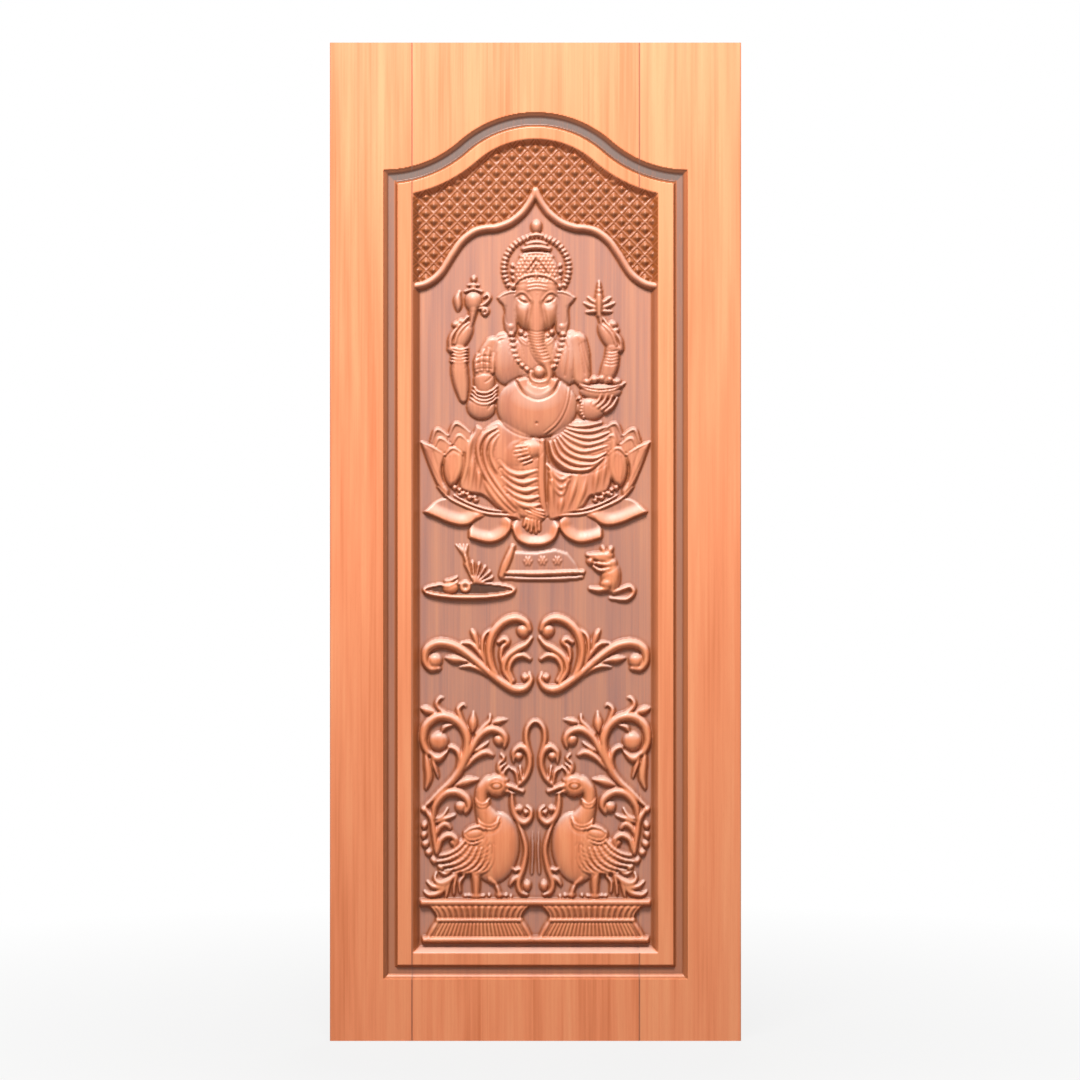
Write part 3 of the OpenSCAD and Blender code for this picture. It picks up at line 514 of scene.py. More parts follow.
def carve_arms(wood):
    """Two raised arms with a pot and a flower, a raised palm, and a hand under a bowl of sweets."""
    wood.strand([(-152, 1352, 9, 9), (-156, 1380, 16, 12), (-160, 1408, 18, 13.4), (-160, 1430, 16, 12.6)],
                full)
    wood.strand([(-160, 1426, 15, 12), (-161, 1456, 14, 11.5)], full)
    for n, z in enumerate((1428, 1435, 1442, 1449, 1455)):
        wood.beads([(-176 + n, z + 2), (-160, z - 1.5), (-146, z + 2)], 6, 3.4, 2.4, 2.4, lift=11.4, moat=0)
    wood.dome(-153, 1483, 16, 34, 12.4, -30, 0.42)
    wood.strands([
        [(-179, 1458, 6, 11), (-178, 1478, 5.5, 13), (-168, 1496, 5, 13.4), (-152, 1514, 4, 12),
         (-142, 1525, 2.5, 8)],
        [(-170, 1468, 4, 13), (-164, 1486, 4.4, 14), (-152, 1502, 4, 13.5), (-141, 1512, 2.6, 10)],
    ])
    wood.domes([(-178, 1456, 8, 8, 12), (-167, 1508, 9, 7, 13, 30), (-158, 1515, 7, 5, 12, 30)])
    wood.strand([(-131, 1542, 11, 12), (-133, 1526, 7, 11), (-136, 1506, 4, 9)])
    wood.dome(-131, 1557, 18.5, 22, 14.2)
    wood.strands([
        [(-149, 1577, 2, 9), (-131, 1582, 3.4, 13), (-113, 1577, 2, 9)],
        [(-142, 1590, 2, 9), (-131, 1593, 3, 12), (-120, 1590, 2, 9)],
        [(-160, 1578, 2, 6), (-164, 1562, 8, 10), (-163, 1548, 8, 10), (-164, 1535, 1.5, 5)],
        [(-119, 1546, 3, 8), (-106, 1552, 4, 10), (-97, 1563, 4, 10), (-102, 1571, 3.4, 9),
         (-109, 1566, 3, 8)],
        [(-118, 1541, 3, 8), (-107, 1542, 4.4, 10), (-101, 1535, 4, 10), (-107, 1529, 3.4, 9),
         (-113, 1533, 2.6, 8)],
    ])
    wood.domes([(-131, 1588, 8, 6, 11), (-130, 1603, 5.5, 8, 11), (-110, 1537, 5, 5, 11)])
    wood.strand([(-90, 1466, 17, 11), (-104, 1440, 18, 11.4), (-113, 1405, 17, 10.6)], full)
    wood.dome(-114, 1334, 31, 27, 12.4, power=0.42)
    wood.dome(-108, 1388, 22, 32, 14.4, power=0.36)
    for n in range(4):
        drop = 1339 + 8 * n
        wood.strand([(-136 + 2 * n, drop + 13, 2.6, 12), (-122, drop + 3, 3.2, 14.4), (-106, drop, 3.2, 15),
                     (-92, drop + 5, 3, 14), (-82, drop + 14, 2.4, 11)], moat=1.6, depth=1.4)
    wood.strands([
        [(-123, 1411, 6.6, 13), (-124, 1428, 6.4, 13.6), (-120, 1442, 5.4, 12)],
        [(-113, 1413, 6.4, 14), (-113, 1436, 6.4, 14.4), (-109, 1452, 5.2, 12)],
        [(-101, 1413, 6.4, 14), (-101, 1438, 6.2, 14.2), (-98, 1456, 5, 12)],
        [(-91, 1408, 5.6, 13), (-90, 1428, 5.6, 13.4), (-88, 1445, 4.6, 11)],
    ], full, moat=2, depth=1.8)
    wood.ribs([[(-128, 1424), (-113, 1429), (-97, 1427)], [(-124, 1436), (-112, 1441), (-94, 1440)],
               [(-129, 1411), (-112, 1415), (-92, 1414)]], 2, -2.2)
    wood.ribs([[(-106, 1386), (-98, 1391), (-90, 1400)],
               [(-124, 1400), (-108, 1404), (-92, 1402)]], 2.2, -1.8)
    wood.rib([(-100, 1330), (-88, 1342), (-84, 1326)], 2.4, -2)

    wood.strand([(148, 1396, 14, 11), (156, 1416, 17, 13), (161, 1436, 16, 12.6), (162, 1456, 14, 11.5)],
                full)
    for z in (1424, 1431, 1438, 1445, 1452):
        wood.rib([(145, z + 1), (160, z - 2), (177, z + 3)], 2, -2)
    wood.dome(153, 1483, 16, 34, 12.4, 30, 0.42)
    wood.strands([
        [(180, 1456, 6, 11), (178, 1474, 5.4, 13), (166, 1492, 5, 13.4), (152, 1508, 4, 12),
         (141, 1524, 2.5, 8)],
        [(171, 1464, 4, 13), (163, 1484, 4.4, 14), (152, 1498, 4, 13.5), (142, 1508, 2.6, 10)],
    ])
    wood.domes([(178, 1457, 8, 9, 12), (163, 1508, 10, 8, 13, -30), (170, 1496, 7, 6, 12, -30)])
    wood.strands([
        [(134, 1536, 6, 12), (137, 1522, 5, 11), (140, 1502, 3.4, 9)],
        [(134, 1538, 4, 10), (120, 1536, 5, 10), (107, 1534, 2, 6)],
        [(134, 1542, 4, 10), (117, 1547, 5, 10), (103, 1553, 2, 6)],
        [(134, 1548, 4, 10), (121, 1557, 4.6, 10), (111, 1565, 2, 6)],
        [(134, 1538, 4, 10), (148, 1536, 5, 10), (161, 1535, 2, 6)],
        [(134, 1542, 4, 10), (151, 1547, 5, 10), (166, 1553, 2, 6)],
        [(134, 1548, 4, 10), (148, 1558, 4.6, 10), (158, 1565, 2, 6)],
    ], creased, moat=1.8)
    wood.strand([(134, 1528, 6, 12), (134, 1552, 9, 14.4), (134, 1570, 7, 13.4), (134, 1582, 5.4, 12),
                 (134, 1600, 1.2, 7)])
    wood.ribs([[(126, 1575), (134, 1573), (142, 1575)], [(127, 1585), (134, 1583), (141, 1585)]], 2.2, -2.6)
    wood.strand([(88, 1472, 20, 12.4), (94, 1440, 21, 12), (97, 1398, 19, 11)], full)
    wood.ribs([[(104, 1472), (112, 1440), (124, 1404)], [(97, 1470), (106, 1436), (114, 1406)],
               [(92, 1466), (98, 1432), (104, 1404)]], 2, -2)
    wood.dome(118, 1331, 31, 25, 12.2, 8, 0.42)
    wood.dome(137, 1366, 44, 17, 12.4, power=0.4)
    wood.domes([(x, z, 9.5, 8, 13.5) for x, z in (
        (108, 1387), (124, 1392), (140, 1394), (156, 1392), (171, 1387),
    )], moat=1.5)
    wood.strand([(88, 1384, 2, 9), (106, 1377, 3, 13), (137, 1373, 3.4, 15), (168, 1377, 3, 13),
                 (188, 1384, 2, 9)], moat=1.6)
    wood.strand([(92, 1379, 2, 9), (110, 1370, 2.8, 13), (137, 1366, 3, 14.4), (164, 1370, 2.8, 13),
                 (184, 1379, 2, 9)], moat=1.6)
    wood.strands([
        [(122, 1338, 4.6, 13), (133, 1348, 4.6, 14), (139, 1362, 3, 12.4)],
        [(131, 1333, 4.6, 13.4), (143, 1344, 4.8, 14.4), (151, 1361, 3, 12.4)],
        [(139, 1328, 4.6, 13), (153, 1340, 4.8, 14), (162, 1358, 3, 12)],
        [(147, 1324, 4.4, 12), (162, 1336, 4.6, 13), (172, 1353, 2.8, 10)],
    ], moat=2, depth=1.8)
    wood.beads([(92, 1352), (97, 1338), (96, 1324), (101, 1312)], 6.5, 3.4, 4.4, 12.5)


RIGHT_FOLDS = (
    ((72, 1295), (90, 1293), (112, 1295), (138, 1301)),
    ((66, 1289), (92, 1283), (120, 1283), (148, 1292)),
    ((62, 1283), (90, 1271), (120, 1268), (154, 1280)),
    ((58, 1276), (84, 1261), (112, 1254), (154, 1266)),
    ((52, 1272), (74, 1250), (104, 1240), (152, 1252)),
    ((46, 1268), (64, 1242), (92, 1228), (126, 1226), (150, 1238)),
    ((40, 1262), (54, 1232), (84, 1215), (120, 1213), (144, 1227)),
    ((30, 1260), (42, 1226), (72, 1204), (108, 1202), (132, 1214)),
)
LEFT_FOLDS = (
    ((-82, 1290), (-106, 1277), (-120, 1252), (-118, 1224), (-106, 1192), (-87, 1162), (-64, 1134),
     (-44, 1114)),
    ((-79, 1282), (-98, 1266), (-107, 1240), (-101, 1208), (-86, 1180), (-66, 1152), (-46, 1130),
     (-28, 1116)),
    ((-78, 1274), (-90, 1255), (-93, 1230), (-84, 1206), (-74, 1192)),
)
KNEE_FOLDS = (
    ((-76, 1220), (-58, 1199), (-34, 1191), (3, 1200)),
    ((-72, 1202), (-50, 1182), (-26, 1174), (4, 1182)),
    ((-70, 1184), (-46, 1164), (-22, 1157), (5, 1163)),
    ((-64, 1164), (-42, 1147), (-18, 1140), (6, 1145)),
    ((-58, 1148), (-36, 1131), (-12, 1124), (8, 1128)),
)
DRAPES = (
    ((-128, 1276), (-140, 1252), (-144, 1212), (-154, 1174)),
    ((-132, 1240), (-133, 1206), (-138, 1164)),
    ((-122, 1222), (-119, 1188), (-122, 1156)),
    ((-110, 1192), (-98, 1162), (-78, 1134), (-52, 1110)),
    ((162, 1290), (166, 1258), (160, 1214), (152, 1172)),
    ((152, 1232), (144, 1200), (139, 1162)),
    ((136, 1214), (128, 1186), (123, 1152)),
    ((33, 1204), (33, 1160), (36, 1112)),
    ((58, 1150), (54, 1130), (50, 1110)),
    ((88, 1190), (78, 1154), (64, 1114)),
    ((108, 1190), (99, 1154), (84, 1118)),
)


def carve_legs(wood):
    """Folded leg, hanging leg and the cloth over them, in rows of rounded folds."""
    wood.plate([(-124, 1296), (-142, 1252), (-150, 1206), (-160, 1168), (-142, 1154), (-112, 1148),
                (-80, 1122), (-44, 1100), (-30, 1100), (-60, 1170), (-100, 1230), (-108, 1284)],
               8.6, 5, smooth=True)
    wood.plate([(26, 1216), (60, 1196), (110, 1204), (146, 1236), (156, 1296), (168, 1276), (164, 1220),
                (156, 1166), (140, 1152), (116, 1146), (98, 1122), (60, 1106), (26, 1104)],
               8.6, 5, smooth=True)
    for path in DRAPES:
        ends = [0.6] + [1] * (len(path) - 2) + [0.7]
        wood.strand([(x, z, 8.5 * e, 12.4 * e + 0.6) for (x, z), e in zip(path, ends)], moat=0, soft=1.5)
    wood.dome(-64, 1236, 64, 72, 12, -6, 0.36)
    wood.dome(96, 1250, 70, 58, 12, 8, 0.36)
    wood.strand([(-64, 1190, 26, 11.6), (-46, 1150, 28, 11.6), (-22, 1124, 24, 10.8), (-6, 1112, 16, 10)],
                full, moat=0)
    wood.dome(-4, 1190, 34, 84, 10.4, 0, 0.36, moat=0)
    wood.dome(-46, 1236, 36, 44, 14.4, -24, 0.5, moat=0)
    for paths, half, rise, cut_by in (
        (RIGHT_FOLDS, 5.8, 14.8, 2.0), (LEFT_FOLDS, 7.0, 14.0, 1.2), (KNEE_FOLDS, 8.2, 14.8, 1.8),
    ):
        for path in paths:
            last = len(path) - 1
            ends = [0.5 if n in (0, last) else 1 for n in range(last + 1)]
            wood.strand([(x, z, half * e, 9 + (rise - 9) * e) for (x, z), e in zip(path, ends)], moat=2.6,
                        depth=cut_by)
    wood.strand([(14, 1262, 6, 12.5), (13, 1226, 8, 13), (12, 1180, 8.5, 12.5), (15, 1140, 8, 11.5),
                 (22, 1106, 5, 8)], full)
    wood.dome(-14, 1243, 30, 21, 16, 8, 0.4, moat=2.5)
    wood.strands([
        [(-20, 1252, 4, 16), (-42, 1249, 4, 14)],
        [(-18, 1244, 4, 16), (-44, 1239, 4, 14)],
        [(-16, 1236, 4, 16), (-41, 1230, 4, 13.6)],
        [(-12, 1228, 4, 15.6), (-35, 1221, 4, 13)],
        [(-8, 1221, 3.6, 15), (-26, 1214, 3.4, 12.4)],
    ], moat=1.8, depth=2.4)
    wood.ribs([[(26, 1212), (42, 1190), (56, 1181), (72, 1190)],
               [(30, 1196), (44, 1172), (56, 1164), (70, 1180)],
               [(34, 1178), (46, 1156), (56, 1150), (64, 1166)]], 4.6, 3.4)
    wood.dome(-2, 1106, 22, 20, 13, -15, 0.4)
    for n in range(3):
        wood.strand([(-22 + 4 * n, 1116 + 7 * n, 2.4, 12), (-4, 1108 + 6 * n, 3.2, 14.6),
                     (18, 1100 + 7 * n, 2.6, 12)], moat=1.5, depth=1.5)
    wood.dome(-8, 1091, 18, 15, 12.6, -10, 0.4)
    wood.strands([
        [(-20, 1098, 3.6, 13), (-24, 1084, 3.8, 12)],
        [(-14, 1096, 3.8, 13.4), (-17, 1077, 4, 12.4)],
        [(-7, 1095, 3.8, 13.4), (-9, 1072, 4, 12.4)],
        [(1, 1094, 3.8, 13), (1, 1070, 4, 12.4)],
        [(8, 1092, 3.4, 12), (8, 1074, 3.6, 11.4)],
    ], moat=1.8, depth=2.2)


SIDE_PETALS = (
    ((-221, 1250), (-217, 1270), (-207, 1290), (-195, 1281), (-182, 1272), (-186, 1250), (-204, 1240)),
    ((-186, 1262), (-178, 1282), (-167, 1303), (-152, 1292), (-134, 1280), (-140, 1252), (-166, 1244)),
    ((-214, 1244), (-208, 1260), (-201, 1272), (-189, 1264), (-176, 1254), (-182, 1238), (-200, 1234)),
    ((-177, 1248), (-170, 1262), (-161, 1278), (-150, 1269), (-138, 1260), (-140, 1238), (-162, 1236)),
    ((-244, 1263), (-216, 1250), (-190, 1234), (-197, 1206), (-194, 1180), (-182, 1156), (-188, 1146),
     (-206, 1168), (-220, 1198), (-233, 1232)),
    ((-174, 1253), (-162, 1245), (-151, 1236), (-148, 1214), (-155, 1190), (-167, 1172), (-180, 1166),
     (-190, 1180), (-195, 1203), (-193, 1226), (-184, 1242)),
)
# Rise and width of the rounded edge of each of these petals
PETAL_SIZES = ((7.5, 6), (8, 6), (10, 6), (10.6, 6), (10.5, 8), (13.6, 14))
PETAL_LIPS = (
    ((-220, 1258, 3, 9), (-208, 1286, 4.4, 12), (-186, 1274, 3, 9)),
    ((-182, 1274, 3, 9), (-167, 1299, 4.6, 12.6), (-138, 1280, 3, 9)),
    ((-212, 1252, 3, 11), (-201, 1268, 4.6, 13), (-179, 1254, 3, 11)),
    ((-175, 1256, 3, 11), (-161, 1274, 4.6, 13.4), (-142, 1260, 3, 11)),
    ((-240, 1260, 2, 9), (-216, 1248, 4.4, 12.6), (-193, 1233, 3.4, 11)),
    ((-191, 1232, 2, 13), (-174, 1247, 5, 15), (-153, 1234, 2.4, 13)),
)


def carve_lotus(wood):
    """Lotus seat: petals that stand up at the sides, the rim, stamens, and hollow petals below."""
    for outline, (rise, edge), lip in zip(SIDE_PETALS, PETAL_SIZES, PETAL_LIPS):
        wood.plate(outline, rise, edge, both=True, smooth=True, moat=3)
        wood.strand(lip, both=True, moat=0)
    wood.ribs([[(-232, 1242), (-214, 1200), (-196, 1166)],
               [(-216, 1240), (-205, 1206), (-194, 1176)]], 2.6, -1.6, both=True)
    wood.ribs([[(-181, 1228), (-186, 1206), (-182, 1182)],
               [(-168, 1230), (-166, 1206), (-172, 1182)]], 2.8, -1.0, both=True)
    wood.domes([(-170, 1164, 6, 6, 10), (-160, 1159, 5, 5, 11), (-153, 1152, 7, 5, 11, 20),
                (-143, 1150, 5, 5, 11), (-139, 1143, 7, 4.6, 11), (-128, 1143, 5, 5, 10),
                (-126, 1137, 6, 4.4, 10), (-160, 1149, 5, 4, 9)], both=True, moat=3, depth=2.4)
    wood.strands([
        [(-206, 1166, 2, 8), (-184, 1144, 3.4, 11), (-152, 1127, 4, 11.6), (-108, 1111, 4, 11.6),
         (-62, 1106, 3.6, 11), (-40, 1102, 2.6, 9)],
        [(-172, 1148, 1.6, 8), (-140, 1131, 3, 10.4), (-100, 1118, 3, 10.4), (-60, 1113, 2, 9)],
    ], both=True)
    wood.scoop(
        [(-237, 1112), (-222, 1127), (-204, 1139), (-184, 1142), (-160, 1130), (-130, 1117), (-104, 1107),
         (-122, 1097), (-140, 1086), (-160, 1084), (-185, 1090), (-210, 1101)],
        [(-234, 1112), (-210, 1103), (-185, 1093), (-160, 1087), (-142, 1089), (-124, 1099)],
        5, 12.6, 30, both=True,
    )
    wood.scoop(
        [(-141, 1058), (-140, 1076), (-130, 1093), (-112, 1106), (-84, 1107), (-58, 1102), (-49, 1090),
         (-52, 1074), (-66, 1058), (-88, 1048), (-112, 1049)],
        [(-138, 1059), (-112, 1052), (-88, 1051), (-68, 1061), (-55, 1075), (-52, 1088)],
        5, 13, 28, both=True,
    )
    wood.scoop(
        [(-50, 1076), (-46, 1092), (-30, 1102), (0, 1106), (30, 1102), (46, 1092), (50, 1076), (40, 1054),
         (20, 1043), (0, 1041), (-20, 1043), (-40, 1054)],
        [(-48, 1076), (-38, 1057), (-20, 1046), (0, 1044), (20, 1046), (38, 1057), (48, 1076)],
        5, 13, 22,
    )


def carve_tray(wood):
    """Offering tray with a pot, a cup, a fan of stems and a brush."""
    turns = np.linspace(0, 2 * np.pi, 61)
    outline = np.stack([-140 + 97 * np.cos(turns[:-1]), 946 + 19 * np.sin(turns[:-1])], 1)
    wood.plate(outline, 3, 3)
    front = 0.5 - 0.5 * np.sin(turns)
    rim = np.stack([-140 + 95 * np.cos(turns), 948 + 15 * np.sin(turns), 2.2 + 2.6 * front, 9 + 5 * front], 1)
    wood.strand(rim, moat=2, depth=3)
    wood.dome(-179, 953, 18, 14, 12.6)
    wood.strands([
        [(-197, 958, 2, 9), (-182, 957, 3.4, 14), (-164, 967, 2, 9)],
        [(-192, 967, 2, 8), (-178, 969, 3.6, 12), (-165, 975, 2, 8)],
    ], moat=2)
    wood.dome(-148, 955, 13.5, 13.5, 12.4)
    place, x, z = wood.window(-165, -130, 938, 972)
    wood.h[place] -= 7 * np.clip(1.4 - np.hypot(x + 148, z - 956) / 7, 0, 1)
    for tip in ((-92, 974), (-97, 986), (-107, 996), (-119, 1003), (-133, 1006), (-147, 1003)):
        wood.strand([(-128, 962, 1.8, 9), ((tip[0] - 128) / 2, (tip[1] + 960) / 2, 2.6, 10),
                     (*tip, 3.6, 10)], moat=1.6)
    wood.strand([(-138, 985, 3, 9), (-144, 1006, 4, 10), (-148, 1020, 5, 10)], moat=2)
    for tip in (-168, -160, -152, -144):
        wood.strand([(-148, 1018, 3, 8), ((tip - 148) / 2, 1032, 3.4, 8), (tip, 1044, 2, 5)], ridged,
                    moat=1.6)
    # Painted shade on the tray's flat floor inside the rim
    place, x, z = wood.window(-240, -40, 925, 970)
    floor = np.clip(5 * (1 - np.hypot((x + 140) / 92, (z - 949) / 13)), 0, 1)
    wood.shade[place] = floor * np.clip((7 - wood.h[place]) / 3, 0, 1)


def carve_mat(wood):
    """Spread cloth with rolled edges and three plain rosettes."""
    wood.plate([(-66, 982), (-46, 1030), (0, 1028), (42, 1035), (68, 1027), (84, 1008), (97, 982)], 4.4, 7)
    wood.strands([
        [(-48, 1040, 5, 8), (-55, 1020, 7.5, 11), (-64, 998, 8, 11), (-72, 978, 6, 9)],
        [(-62, 984, 4, 9), (0, 983, 5, 10.6), (60, 985, 5, 10.6), (101, 986, 4, 9)],
        [(-70, 974, 3.4, 6), (0, 972, 4, 7), (60, 973, 4, 7), (99, 976, 3.4, 6)],
    ], full, moat=2)
    for x in range(-52, 98, 11):
        wood.rib([(x - 1.5, 984), (x + 1.5, 984)], 2, -2.4)
    for x, z in ((-16, 1009), (15, 1010), (46, 1010)):
        for turn in np.radians(np.arange(0, 360, 60)):
            wood.dome(x + 6.5 * math.cos(turn), z + 6.5 * math.sin(turn), 4.8, 3.4, 9, math.degrees(turn),
                      moat=1.8, depth=1.2)
        wood.dome(x, z, 3.4, 3.4, 10, moat=1.8, depth=1.2)


def carve_mouse(wood):
    """Mouse that sits up with a sweet in its paws."""
    wood.strand([(164, 943, 4.4, 9), (184, 951, 5, 10), (200, 955, 5, 10), (207, 943, 5, 10),
                 (191, 929, 4.6, 10), (157, 931, 3, 7)])
    wood.dome(159, 976, 21, 35, 13.6)
    wood.dome(152, 962, 16, 13, 15.4, 20)
    wood.dome(155, 1004, 17, 14, 13)
    wood.strand([(146, 1018, 13, 12), (130, 1019, 9.5, 12), (110, 1022, 4, 9)], full)
    wood.dome(150, 1021, 15, 12, 13)
    wood.domes([(143, 1034, 5.4, 9, 12, 16), (158, 1033, 6, 9, 12, -18)], moat=2, depth=2)
    wood.ribs([[(143, 1031), (142, 1038)], [(158, 1030), (160, 1037)]], 2.4, -2)
    wood.dome(130, 1021.5, 3.2, 2.6, 13.6, moat=1.6)
    wood.dome(116, 1009, 8.4, 8.4, 12)
    wood.strands([
        [(156, 1001, 5, 14), (138, 1003, 4.4, 13.6), (122, 1006, 3.4, 11)],
        [(156, 993, 5, 14), (136, 990, 4.4, 13), (122, 998, 3.4, 11)],
        [(115, 951, 4, 9), (132, 949, 6.4, 12), (152, 951, 6, 12)],
    ], moat=2, depth=2)
    wood.ribs([[(x, 986), (x + 1, 1008)] for x in (127, 133, 139)], 1.5, -1.6)
    wood.ribs([[(x, 945), (x + 1, 956)] for x in (118, 123, 128)], 1.4, -1.6)
    wood.rib([(172, 1000), (176, 976), (168, 950)], 2.4, -1.6)


SCROLLS = (
    ((-203, 783, 5, 9), (-222, 783, 7, 10), (-233, 800, 8, 12), (-228, 824, 9.5, 13), (-204, 836, 10.5, 14),
     (-170, 830, 10, 14), (-135, 807, 8.5, 13.6), (-105, 781, 8, 13.4), (-75, 757, 9, 13.4),
     (-45, 740, 9.5, 13.6), (-22, 742, 8.5, 13), (-10, 757, 6, 12), (-13, 771, 4, 9)),
    ((-76, 757, 5, 11), (-92, 786, 8, 13.4), (-98, 822, 9, 14), (-89, 857, 9.5, 14), (-67, 881, 9.5, 14),
     (-42, 889, 9, 14), (-21, 881, 7.5, 13), (-12, 864, 5, 10)),
    ((-50, 752, 4, 11), (-66, 780, 6.5, 13), (-60, 806, 8, 13.4), (-38, 824, 8, 13.4), (-20, 834, 6, 12),
     (-9, 847, 4, 9)),
    ((-46, 756, 4, 10), (-56, 780, 5, 12), (-47, 803, 6, 12.6), (-28, 811, 6.4, 12.6), (-11, 802, 4, 9)),
)
SCROLL_LEAVES = (
    ((-192, 805, 1, 5), (-172, 803, 9, 12), (-152, 800, 5, 9), (-134, 794, 2, 6)),
    ((-160, 786, 2, 6), (-138, 788, 5, 11), (-120, 781, 4.4, 10), (-103, 768, 2.4, 8)),
    ((-158, 836, 2, 6), (-136, 835, 5, 11), (-118, 816, 5, 11), (-104, 790, 3, 9)),
    ((-93, 868, 1.6, 6), (-109, 850, 5, 11), (-112, 824, 5.4, 11), (-105, 794, 3, 9)),
    ((-120, 824, 3, 7), (-124, 840, 6, 10), (-130, 856, 6.5, 11), (-134, 862, 3, 8)),
    ((-58, 760, 3, 9), (-72, 800, 4, 11), (-70, 826, 5, 11), (-58, 838, 5, 11), (-66, 845, 6, 11.4),
     (-78, 838, 4.5, 10)),
)


def carve_scrolls(wood):
    """Pair of acanthus scrolls: rounded stems that roll up round a boss, with slim leaves."""
    wood.strands(SCROLL_LEAVES, both=True)
    wood.domes([(-212, 799, 16, 16, 12), (-26, 862, 14, 14, 12)], both=True)
    wood.strands(SCROLLS, both=True, moat=3, depth=1.8)
    wood.dome(-22, 764, 8, 8, 11, both=True)
    wood.ribs([
        [(-122, 796), (-100, 777), (-74, 756), (-46, 740), (-26, 743)],
        [(-128, 800), (-98, 783), (-80, 768)],
        [(-88, 782), (-94, 820), (-86, 852), (-66, 876)],
        [(-230, 805), (-225, 821), (-204, 832), (-172, 826), (-138, 804)],
    ], 1.6, -1.3, both=True)


VINES = (
    ((-232, 493, 4, 9), (-205, 519, 7, 12), (-172, 551, 8.5, 13.4), (-151, 588, 9.5, 14),
     (-143, 625, 9.5, 14), (-152, 657, 10, 14), (-176, 678, 10.5, 14), (-205, 681, 10.5, 14),
     (-229, 664, 10, 14), (-237, 636, 9, 13.4), (-230, 611, 7.5, 12), (-216, 601, 5, 10), (-200, 599, 3, 8)),
    ((-152, 572, 4, 10), (-136, 610, 6.5, 12.4), (-119, 640, 8, 13.4), (-95, 655, 9, 13.6), (-73, 649, 8, 13),
     (-63, 634, 6.5, 12), (-66, 618, 4, 9)),
    ((-216, 460, 5, 10), (-212, 492, 7.5, 12.6), (-193, 517, 9, 13.6), (-168, 523, 9.5, 13.8),
     (-147, 511, 8.5, 13), (-140, 494, 7, 12), (-147, 480, 5, 9)),
    ((-208, 396, 6, 11), (-214, 436, 7, 12), (-219, 464, 6, 11.4), (-232, 486, 6, 10)),
    ((-205, 400, 4, 10), (-199, 422, 6.6, 12.4), (-182, 432, 7.4, 13), (-167, 422, 6.4, 12),
     (-171, 408, 4, 9)),
)
VINE_LEAVES = (
    ((-150, 664, 4, 10), (-160, 684, 5.6, 11), (-162, 698, 5.4, 10), (-152, 707, 3, 8), (-147, 701, 2, 6)),
    ((-180, 685, 4, 10), (-199, 694, 5.6, 11), (-208, 707, 5.4, 10.6), (-203, 719, 4, 9), (-194, 721, 2, 7)),
    ((-243, 700, 1.4, 5), (-228, 695, 9, 11), (-206, 688, 2, 7)),
    ((-133, 650, 4, 9), (-132, 668, 9.5, 12), (-131, 693, 1, 5)),
    ((-126, 645, 3, 9), (-109, 660, 5.4, 11), (-97, 672, 5, 10), (-96, 686, 2, 6)),
    ((-92, 667, 2, 7), (-78, 672, 6.6, 10), (-58, 675, 1, 5)),
    ((-148, 572, 3, 9), (-128, 595, 6.4, 12), (-106, 606, 8, 12), (-90, 600, 4, 8)),
    ((-130, 607, 2, 8), (-114, 617, 5.4, 10.6), (-99, 627, 2, 6)),
    ((-166, 570, 3, 9), (-159, 592, 6.6, 12), (-165, 610, 7, 11.6), (-179, 617, 5.4, 10), (-186, 609, 2, 7)),
    ((-232, 610, 3, 8), (-228, 582, 8, 11), (-225, 554, 9, 11.4), (-231, 530, 3.4, 8)),
    ((-222, 603, 2, 8), (-213, 578, 5.6, 10), (-205, 553, 2.4, 7)),
    ((-212, 466, 3, 8), (-196, 472, 4.6, 10), (-185, 488, 2, 6)),
    ((-212, 458, 3, 8), (-192, 466, 6, 10.4), (-170, 473, 3, 7)),
    ((-211, 428, 4, 9), (-203, 447, 6.4, 10.6), (-190, 455, 7, 10.8), (-180, 446, 4, 8)),
    ((-172, 535, 2, 7), (-146, 545, 9.6, 12), (-120, 549, 2, 7)),
    ((-197, 650, 3, 8), (-190, 660, 5.6, 10.6), (-174, 664, 3, 8)),
    ((-224, 604, 2, 8), (-206, 593, 9, 12.6), (-185, 609, 2, 9)),
)
